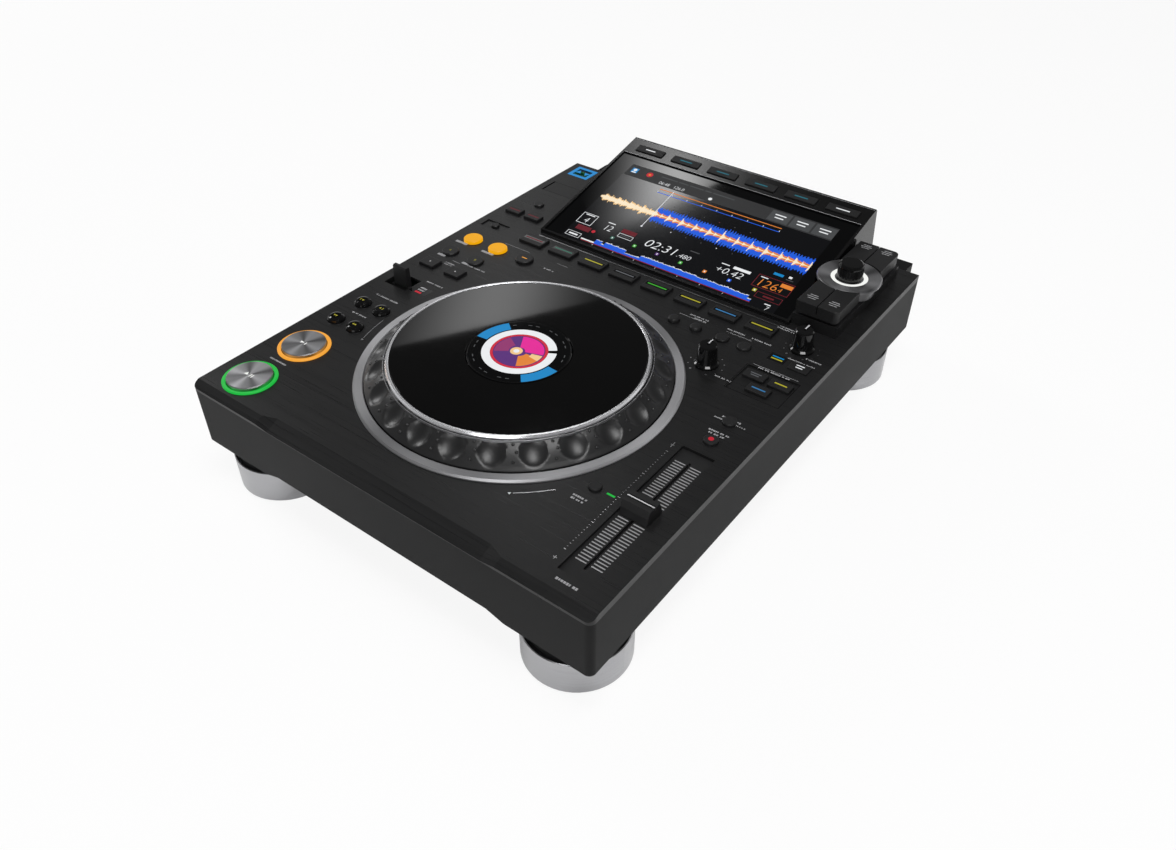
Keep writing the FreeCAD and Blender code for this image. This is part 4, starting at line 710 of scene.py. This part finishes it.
def screenMarks():
    shape = bmesh.new()
    looks = ("screenWhite", "barGrey", "red", "orange", "padGreen", "blue", "yellow", "screenGrey", "purple", "teal",
             "darkRed", "cyan")
    white, bar, red, orange, green, blue, yellow, pale, purple, teal, darkRed, cyan = range(12)
    lift = 0.03
    middle = (screen["left"] + screen["right"]) / 2
    wide = screen["right"] - screen["left"]
    slab(shape, middle, 98.6, wide - 1.0, 15.0, 0.01, index=bar)
    # head line of the wave and its foot mark
    slab(shape, -37.3, 65.2, 0.55, 47.5, 0.06, index=white)
    spot(shape, -37.3, 41.0, 0.9, 0.06, white)
    # time, tempo and other numerals
    digits(shape, "02:31", -24.0, 22.4, 8.8, lift, white, 0.18, 1.12)
    digits(shape, ".480", 6.6, 23.0, 4.9, lift, white, 0.18, 1.05)
    digits(shape, "+0.42", 40.5, 23.0, 6.8, lift, white, 0.18, 1.1)
    digits(shape, "12", -64.5, 23.6, 6.8, lift, white, 0.15, 0.9)
    digits(shape, "4", -82.5, 24.2, 6.6, lift, white, 0.15, 0.95, True)
    digits(shape, "126", 75.2, 23.6, 8.4, lift, orange, 0.12, 1.02)
    digits(shape, ".4", 92.2, 23.6, 5.0, lift, orange, 0.12, 0.95)
    digits(shape, "06:48   126.0", -56.0, 92.8, 3.6, lift, white, 0.1, 0.95)
    slab(shape, -83.5, 99.0, 6.0, 6.0, lift, index=cyan)
    spot(shape, -83.5, 99.8, 1.7, lift + 0.01, white)
    slab(shape, -83.5, 96.8, 4.2, 1.2, lift + 0.01, index=white)
    spot(shape, -68.5, 99.4, 3.0, lift, red)
    spot(shape, -68.5, 99.4, 1.2, lift + 0.01, orange)
    words = (16, 9, 13, 6, 20)
    for i, length in enumerate(words):
        x = -58 + sum(words[:i]) + 1.6 * i + length / 2
        slab(shape, x, 101.6, length, 1.3, lift, index=pale)
    spot(shape, -6.0, 94.2, 1.7, lift, white)
    for i in range(3):
        x = 55.0 + i * 19.2
        slab(shape, x, 98.6, 17.6, 12.4, 0.02, index=pale)
        slab(shape, x, 100.6, 9.5, 1.2, lift, index=white)
        slab(shape, x, 97.2, 7.5, 1.2, lift, index=white)
    # phase lines
    slab(shape, 6.5, 87.3, 113.0, 0.8, lift, index=orange)
    slab(shape, 6.5, 83.0, 113.0, 0.7, lift, index=blue)
    for i in range(9):
        slab(shape, -50 + i * 14.1, 84.0, 0.5, 1.4, lift, index=white)
    # boxes at the left and right
    outlineFrame(shape, -82.5, 28.6, 14.5, 13.0, 0.5, lift, white)
    slab(shape, -82.5, 33.4, 9.0, 0.9, lift, index=white)
    slab(shape, -60.5, 32.9, 7.0, 0.9, lift, index=white)
    slab(shape, -78.5, 17.6, 13.5, 5.6, lift, index=darkRed)
    spot(shape, -68.6, 17.8, 1.7, lift, red)
    slab(shape, -41.5, 29.6, 13.5, 4.6, lift, index=darkRed)
    outlineFrame(shape, -41.5, 24.0, 13.5, 4.6, 0.4, lift, white)
    slab(shape, -41.5, 24.0, 9.5, 1.0, lift, index=pale)
    outlineFrame(shape, -82.0, 8.4, 13.5, 5.6, 0.4, lift, white)
    slab(shape, -82.0, 8.4, 8.5, 1.6, lift, index=white)
    slab(shape, 17.8, 33.6, 8.5, 0.9, lift, index=pale)
    slab(shape, 46.0, 32.6, 7.0, 0.9, lift, index=white)
    slab(shape, 60.2, 32.4, 14.5, 2.8, lift, index=white)
    outlineFrame(shape, 88.5, 28.6, 30.0, 13.5, 0.6, lift, darkRed)
    slab(shape, 79.0, 33.2, 6.0, 0.9, lift, index=white)
    slab(shape, 98.2, 31.6, 9.6, 4.0, lift + 0.01, index=orange)
    outlineFrame(shape, 92.0, 15.4, 21.0, 6.2, 0.5, lift, darkRed)
    slab(shape, 92.0, 15.4, 9.0, 1.6, lift, index=darkRed)
    slab(shape, 86.5, 40.6, 8.0, 2.6, lift, index=cyan)
    slab(shape, 95.8, 41.6, 2.6, 2.2, lift, index=white)
    slab(shape, 96.5, 38.6, 6.0, 0.8, lift, index=pale)
    slab(shape, 95.0, 9.0, 5.0, 0.9, lift, index=white)
    digits(shape, "7", 94.6, 3.4, 4.2, lift, white, 0.1)
    # cue flags over the overview
    for x, index in ((-50.3, teal), (-28.8, green), (-7.5, purple), (14.1, green), (35.7, orange), (57.1, blue),
                     (78.8, yellow)):
        slab(shape, x, 18.5, 3.0, 3.0, lift, index=index)
        slab(shape, x, 18.5, 0.9, 1.6, lift + 0.01, index=white)
    for x in (-26.5, -12.0, 2.0, 16.0, 30.0, 44.0):
        spot(shape, x, 45.0, 0.5, lift, white if x in (-12.0, 30.0) else pale, 8)
        spot(shape, x, 72.5, 0.5, lift, pale if x != 16.0 else darkRed, 8)
    piece("screenMarks", shape, "player", "light_guide", *looks, place=onGlass)


def screenStep():
    # light band at the far end of the sunk glass and labels on the six keys
    shape = bmesh.new()
    for i in range(6):
        x = 5.0 + (i - 2.5) * 36.0
        slab(shape, x, 125.6, 11.5 if i else 9.5, 1.1, index=0 if 0 < i < 5 else 1)
    top = onFace @ Matrix.Translation((0, 0, 0.95))
    piece("screenKeyMarks", shape, "screen_keys", "light_guide", "keyTeal", "screenWhite", place=top)
    shape = bmesh.new()
    slab(shape, 4.0, 116.9, 221.0, 0.5, 0.03)
    slab(shape, 4.0, 136.6, 224.5, 0.35, 0.03)
    piece("housingLines", shape, "player", "gloss_black", "dimInk", place=onFace)


screenBack()
waveform()
overview()
screenMarks()
screenStep()
print("display made")


# pads and printed marks on the top panel

panelZ = 83.0
turnRadius = 117.9
knobScale = 12.2
faderX = 139.3
# pad 4 is off; its grey bar glows faintly: painted glow
padLights = ("darkRed", "teal", "yellow", "unlit", "padGreen", "yellow", "padBlue", "yellow")


def padBars():
    for i, look in enumerate(padLights):
        node = f"hot_cue_key_{i + 1}"
        low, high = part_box(node)
        shape = bmesh.new()
        x, y, top = (low.x + high.x) / 2 / mm, (low.y + high.y) / 2 / mm, high.z / mm + 0.04
        slab(shape, x, y + 0.4, 16.6, 1.3, top)
        slab(shape, x, y + 0.4, 19.4, 3.8, top - 0.02, index=1)
        piece(f"padLight{i + 1}", shape, node, "pad_light", look, "gloss")


padBars()
legend = {
    "rows": ((-135.6, -77.0, 22.0, 1.5), (-136.0, -104.0, 14.0, 1.5), (-121.0, -41.5, 17.0, 1.5),
             (-133.5, -14.0, 8.0, 1.3), (-133.5, -11.8, 9.0, 1.3), (-112.0, -5.5, 18.0, 1.5), (-66.0, 27.0, 10.0, 1.5),
             (-137.0, -176.5, 17.0, 1.5), (62.0, 40.5, 16.0, 1.4), (64.0, 38.0, 10.0, 1.4), (92.0, 40.5, 14.0, 1.5),
             (112.0, 40.5, 15.0, 1.5), (112.5, -12.0, 12.0, 1.5), (146.0, 34.5, 20.0, 1.3), (126.0, 66.0, 26.0, 1.3),
             (126.0, 63.6, 28.0, 1.3), (152.0, 41.0, 12.0, 1.3), (137.0, 13.2, 24.0, 1.6), (139.5, -46.0, 14.0, 1.8),
             (139.5, -49.0, 22.0, 1.1), (139.5, -61.5, 15.0, 1.6), (139.5, -64.2, 12.0, 1.6),
             (105.5, -158.5, 10.0, 1.5), (105.5, -161.2, 9.0, 1.5), (139.3, -214.0, 15.0, 1.8),
             (-20.0, 51.0, 12.0, 1.4), (-94.0, 172.0, 12.0, 1.3)),
    "bars": ((-148.9, 18.2, 12.0, 2.6), (-121.5, 18.2, 12.0, 2.6), (-148.4, -5.6, 7.6, 2.6), (-123.6, -4.6, 7.6, 2.6)),
}


def keyMark(name, node, marks, *looks):
    # marks sit on the top of a key: (kind, x, y, a, b, look index)
    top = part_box(node)[1].z / mm + 0.04
    shape = bmesh.new()
    for kind, x, y, a, b, index in marks:
        if kind == "bar":
            slab(shape, x, y, a, b, top, index=index)
        elif kind == "dot":
            spot(shape, x, y, a, top, index)
        elif kind == "arrow":
            arrow(shape, x, y, a, b, top, index)
        elif kind == "digit":
            digits(shape, b, x, y, a, top, index, 0.0, 1.0, True)
    piece(name, shape, node, "light_guide", *looks)


def keyMarks():
    keyMark("searchMarks", "search_keys", [
        ("arrow", -146.3, -117.5, 1.1, 180, 0), ("arrow", -144.5, -117.5, 1.1, 180, 0),
        ("arrow", -126.9, -117.5, 1.1, 0, 0), ("arrow", -125.1, -117.5, 1.1, 0, 0)], "yellow")
    keyMark("trackMarks", "track_keys", [
        ("arrow", -144.6, -91.8, 1.2, 180, 0), ("bar", -146.9, -91.8, 0.5, 2.2, 0),
        ("arrow", -126.6, -91.8, 1.2, 0, 0), ("bar", -124.3, -91.8, 0.5, 2.2, 0)], "yellow")
    keyMark("jumpMarks", "beat_jump_keys", [
        ("arrow", -145.8, -20.7, 1.0, 180, 0), ("arrow", -119.7, -20.7, 1.0, 0, 0)], "ink")
    keyMark("beatLoopMarks", "beat_loop_keys", [
        ("digit", -145.8, 0.8, 2.4, "4", 0), ("digit", -119.7, 0.8, 2.4, "8", 0)], "yellow")
    keyMark("reloopMark", "reloop_key", [("bar", -90.5, 27.0, 5.0, 0.9, 0)], "amber")
    keyMark("modeMark", "jog_mode_key", [("bar", 147.8, 29.6, 6.0, 0.9, 0), ("bar", 147.8, 27.0, 5.0, 0.9, 0)],
            "screenWhite")
    keyMark("syncMark", "beat_sync_key", [("bar", 128.2, 4.4, 8.0, 0.9, 0), ("bar", 128.2, 2.2, 6.0, 0.9, 0)],
            "unlit")
    keyMark("masterMark", "master_key", [("bar", 147.0, 3.4, 9.0, 1.2, 0)], "yellow")
    keyMark("keySyncMark", "key_sync_key", [("bar", 137.6, -9.4, 10.0, 1.2, 0)], "padBlue")
    keyMark("timeMarks", "time_keys", [("bar", -148.6, 84.2, 11.0, 1.2, 0), ("bar", -128.5, 84.2, 11.0, 1.2, 0)],
            "darkRed")
    keyMark("masterTempoMark", "master_tempo_key", [("dot", 139.3, -71.0, 1.8, 0, 0)], "red")
    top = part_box("selector_keys_front")[1].z / mm
    for name, node, y in (("selectorFrontMarks", "selector_keys_front", 84.0),
                          ("selectorRearMarks", "selector_keys_rear", 172.0)):
        shape = bmesh.new()
        for x in (126.2, 142.6):
            for row in (-2.4, 0.0, 2.4):
                slab(shape, x, y + row, 8.4 - abs(row), 0.8, top + 0.04)
        piece(name, shape, node, "light_guide", "labelInk")


keyMarks()


def panelMarks():
    shape = bmesh.new()
    white, dim, red, green, blue, amber, label = range(7)
    z = panelZ + 0.04
    # silver lines in front of the display
    slab(shape, 4.0, 69.2, 222.0, 0.7, z, index=white)
    slab(shape, 4.0, 65.4, 222.0, 0.7, z, index=white)
    for x, y, wide, deep in legend["bars"]:
        slab(shape, x, y, wide, deep, z, index=label)
    for seed, (x, y, wide, tall) in enumerate(legend["rows"]):
        legendRow(shape, x, y, wide, tall, z, label, seed)
    # direction lamps beside the lever
    slab(shape, -124.0, -53.6, 16.5, 9.6, z, index=dim)
    # tempo scale beside the fader: ticks, two plus marks and a green centre mark
    for i in range(41):
        y = -95.0 - i * 2.5
        slab(shape, 123.0, y, 1.6 if i % 10 == 0 else 0.7, 0.45, z, index=white)
    slab(shape, 122.6, -88.0, 0.5, 5.0, z, index=white)
    slab(shape, 122.6, -88.0, 2.4, 0.5, z, index=white)
    slab(shape, 122.6, -203.0, 2.6, 0.5, z, index=white)
    slab(shape, 122.6, -203.0, 0.5, 2.6, z, index=white)
    slab(shape, 118.6, -146.4, 5.6, 1.4, z, index=green)
    # turn arrows beside the jog wheel
    for start, sweep in ((186.0, 12.0), (-52.0, 12.0)):
        band(shape, 0, jog["y"], 117.6, 118.1, start=start, sweep=sweep, z=z, index=white)
    for at, turn in ((199.0, -71), (-53.0, -143)):
        x, y = turnRadius * math.cos(math.radians(at)), turnRadius * math.sin(math.radians(at))
        arrow(shape, x, jog["y"] + y, 1.3, turn, z, white)
    # knob scales
    for x, y in knobSpots:
        for i in range(11):
            angle = math.radians(240 - 30 * i)
            dx, dy = knobScale * math.cos(angle), knobScale * math.sin(angle)
            spot(shape, x + dx, y + dy, 0.55 if i % 5 else 0.85, z, white, 10)
    # short rules that group the keys
    for x, y, wide in ((-131.0, -7.2, 8.0), (-108.0, 38.5, 26.0), (-62.0, 38.5, 10.0), (58.0, 37.0, 22.0),
                       (96.0, 37.2, 20.0), (137.0, 15.0, 34.0)):
        slab(shape, x, y, wide, 0.35, z, index=label)
    outlineFrame(shape, 137.0, -3.2, 40.0, 31.0, 0.4, z, dim)
    piece("panelMarks", shape, "player", "panel_black", "silverLine", "gloss", "red", "green", "padBlue", "amber",
          "labelInk")
    shape = bmesh.new()
    slab(shape, -124.0, -56.6, 6.0, 2.0, z + 0.02, index=0)
    slab(shape, -124.0, -53.4, 6.0, 1.6, z + 0.02, index=1)
    slab(shape, -124.0, -50.4, 6.0, 1.6, z + 0.02, index=1)
    slab(shape, 130.4, 31.2, 8.4, 1.2, z + 0.03, index=2)
    slab(shape, 130.4, 28.6, 8.4, 1.2, z + 0.03, index=3)
    slab(shape, 130.4, 29.8, 12.5, 8.4, z + 0.01, index=4)
    piece("lampMarks", shape, "player", "light_guide", "red", "labelInk", "cyan", "yellow", "gloss")


panelMarks()


def faderMarks():
    # ruled lines on the sunk fader plate, and the white line on the cap
    shape = bmesh.new()
    for i in range(41):
        y = -97.0 - i * 2.45
        for side in (-1, 1):
            slab(shape, faderX + side * 5.4, y, 7.4, 0.8, panelZ - 2.16, index=0)
    piece("faderLines", shape, "player", "panel_black", "labelInk")
    shape = bmesh.new()
    low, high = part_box("tempo_slider")
    slab(shape, faderX, (low.y + high.y) / 2 / mm, 18.4, 0.8, high.z / mm + 0.04)
    piece("sliderLine", shape, "tempo_slider", "light_guide", "ink")


faderMarks()


def knobPointers():
    for name, (x, y) in zip(("feel_knob", "release_knob"), knobSpots):
        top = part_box(name)[1].z / mm
        shape = bmesh.new()
        slab(shape, x, y + 3.4, 0.9, 5.4, top + 0.04)
        piece(name.replace("_", "") + "Line", shape, name, "light_guide", "ink")


knobPointers()


def usbLight():
    shape = bmesh.new()
    outlineFrame(shape, -147.7, 177.5, 21.0, 18.5, 3.4, panelZ + 0.05, 0)
    arrow(shape, -152.0, 177.5, 3.4, 0, panelZ + 0.06)
    arrow(shape, -143.4, 177.5, 3.4, 180, panelZ + 0.06)
    piece("usbGlow", shape, "player", "light_guide", "usbBlue")


usbLight()
print("printed marks made")


# floor and light

studio = {"floor": 30.0, "world": 0.07, "horizon": 0.6, "camera": 1.0}
# softboxes at the rear left: height, ends of the straight edge, strength, outline along and behind that edge
softboxes = {
    "platterSoftbox": (1.5, (-1.639, 1.185), (-1.295, 1.782), 2.3,
                       ((-0.2, 0), (-0.2, 0.75), (1.0, 0.75), (1.0, 0))),
    "displaySoftbox": (5.0, (-3.353, 2.919), (-2.722, 3.759), 9.0,
                       ((-0.15, 0), (-0.15, 0.95), (1.0, 0.95), (1.25, 0.3), (1.25, 0)))}


def floorFinish():
    finish = Finish("floorPale", Specular_IOR_Level=0.1)
    soft = finish.noise(3.0)
    finish.set("Base Color", finish.blend(soft, (0.86, 0.86, 0.86), (0.9, 0.9, 0.9)))
    finish.set("Roughness", 0.8)
    seen = finish.add("LightPath", output="Is Camera Ray")
    mirrored = finish.add("LightPath", output="Is Glossy Ray")
    through = finish.add("LightPath", output="Is Transmission Ray")
    glow = finish.add("Emission", Color=(1, 1, 1, 1), Strength=1.0)
    mix = finish.add("MixShader", Fac=seen * 0.9 + mirrored * 0.3 + through * 0.9)
    blendNode = mix.socket.node
    finish.tree.links.new(finish.shader.outputs[0], blendNode.inputs[1])
    finish.tree.links.new(glow.socket, blendNode.inputs[2])
    output = finish.tree.nodes["Material Output"]
    finish.tree.links.new(mix.socket, output.inputs["Surface"])
    return finish


def addFloor():
    shape = bmesh.new()
    bmesh.ops.create_grid(shape, x_segments=1, y_segments=1, size=studio["floor"])
    mesh = bpy.data.meshes.new("floor")
    shape.to_mesh(mesh)
    shape.free()
    mesh.materials.append(floorFinish().material)
    floor = bpy.data.objects.new("floor", mesh)
    bpy.context.scene.collection.objects.link(floor)


def addWorld():
    # dim overhead, bright near the horizon, white where the camera sees it
    world = bpy.data.worlds.new("studio")
    bpy.context.scene.world = world
    world.use_nodes = True
    tree = world.node_tree
    back = tree.nodes["Background"]
    paths = tree.nodes.new("ShaderNodeLightPath")
    where = tree.nodes.new("ShaderNodeTexCoord")
    parts = tree.nodes.new("ShaderNodeSeparateXYZ")
    tree.links.new(where.outputs["Generated"], parts.inputs[0])
    height = Wire(tree, parts.outputs[2])
    away = Wire(tree, parts.outputs[1])
    low = 2.718 ** ((height * height) * -14.0)
    light = studio["world"] + low * (studio["horizon"] + away * 0.3)
    seen = Wire(tree, paths.outputs["Is Camera Ray"])
    back.inputs["Color"].default_value = (1, 1, 1, 1)
    plug(tree, back.inputs["Strength"], seen * studio["camera"] + (1.0 - seen) * light)


def softboxFinish(name, strength, long, deep):
    # brightest a little behind the straight edge, fading to the ends and the back
    finish = Finish(name)
    along, behind = finish.axes()[:2]
    middle = 0.42 * long + behind * 0.5
    side = (along - middle) / (long * 0.46)
    share = 2.718 ** (side * side * -1.6)
    fade = 1.0 - (behind / deep) * 0.35
    light = finish.add("Emission", Color=(1, 1, 1, 1), Strength=share * fade * strength)
    output = finish.tree.nodes["Material Output"]
    finish.tree.links.new(light.socket, output.inputs["Surface"])
    finish.tree.nodes.remove(finish.shader)
    return finish


def addSoftbox(name, height, start, end, strength, outline):
    edge = Vector(end) - Vector(start)
    long = edge.length
    turn = math.atan2(edge.y, edge.x)
    deep = max(v for u, v in outline)
    shape = bmesh.new()
    shape.faces.new([shape.verts.new((u, v, 0)) for u, v in outline])
    mesh = bpy.data.meshes.new(name)
    shape.to_mesh(mesh)
    shape.free()
    mesh.materials.append(softboxFinish(name, strength, long, deep).material)
    card = bpy.data.objects.new(name, mesh)
    card.location = (start[0], start[1], height)
    card.rotation_euler = (0, 0, turn)
    bpy.context.scene.collection.objects.link(card)


def addLamp(name, place, aim, size, power):
    data = bpy.data.lights.new(name, "AREA")
    data.shape = "RECTANGLE"
    data.size, data.size_y = size
    data.energy = power
    lamp = bpy.data.objects.new(name, data)
    lamp.location = place
    direction = Vector(aim) - Vector(place)
    lamp.rotation_euler = direction.to_track_quat("-Z", "Y").to_euler()
    bpy.context.scene.collection.objects.link(lamp)


addFloor()
addWorld()
for name, settings in softboxes.items():
    addSoftbox(name, *settings)
addLamp("topLamp", (0.5, -0.3, 2.2), (0, 0, 0.08), (1.0, 1.0), 34)
addLamp("leftLamp", (-2.2, 0.2, 1.3), (-0.05, 0, 0.05), (0.5, 0.9), 14)
addLamp("frontLamp", (0.9, -2.4, 0.9), (0, 0, 0.05), (1.4, 0.8), 26)
bpy.context.scene.view_settings.view_transform = "Standard"
print("lights and floor made")
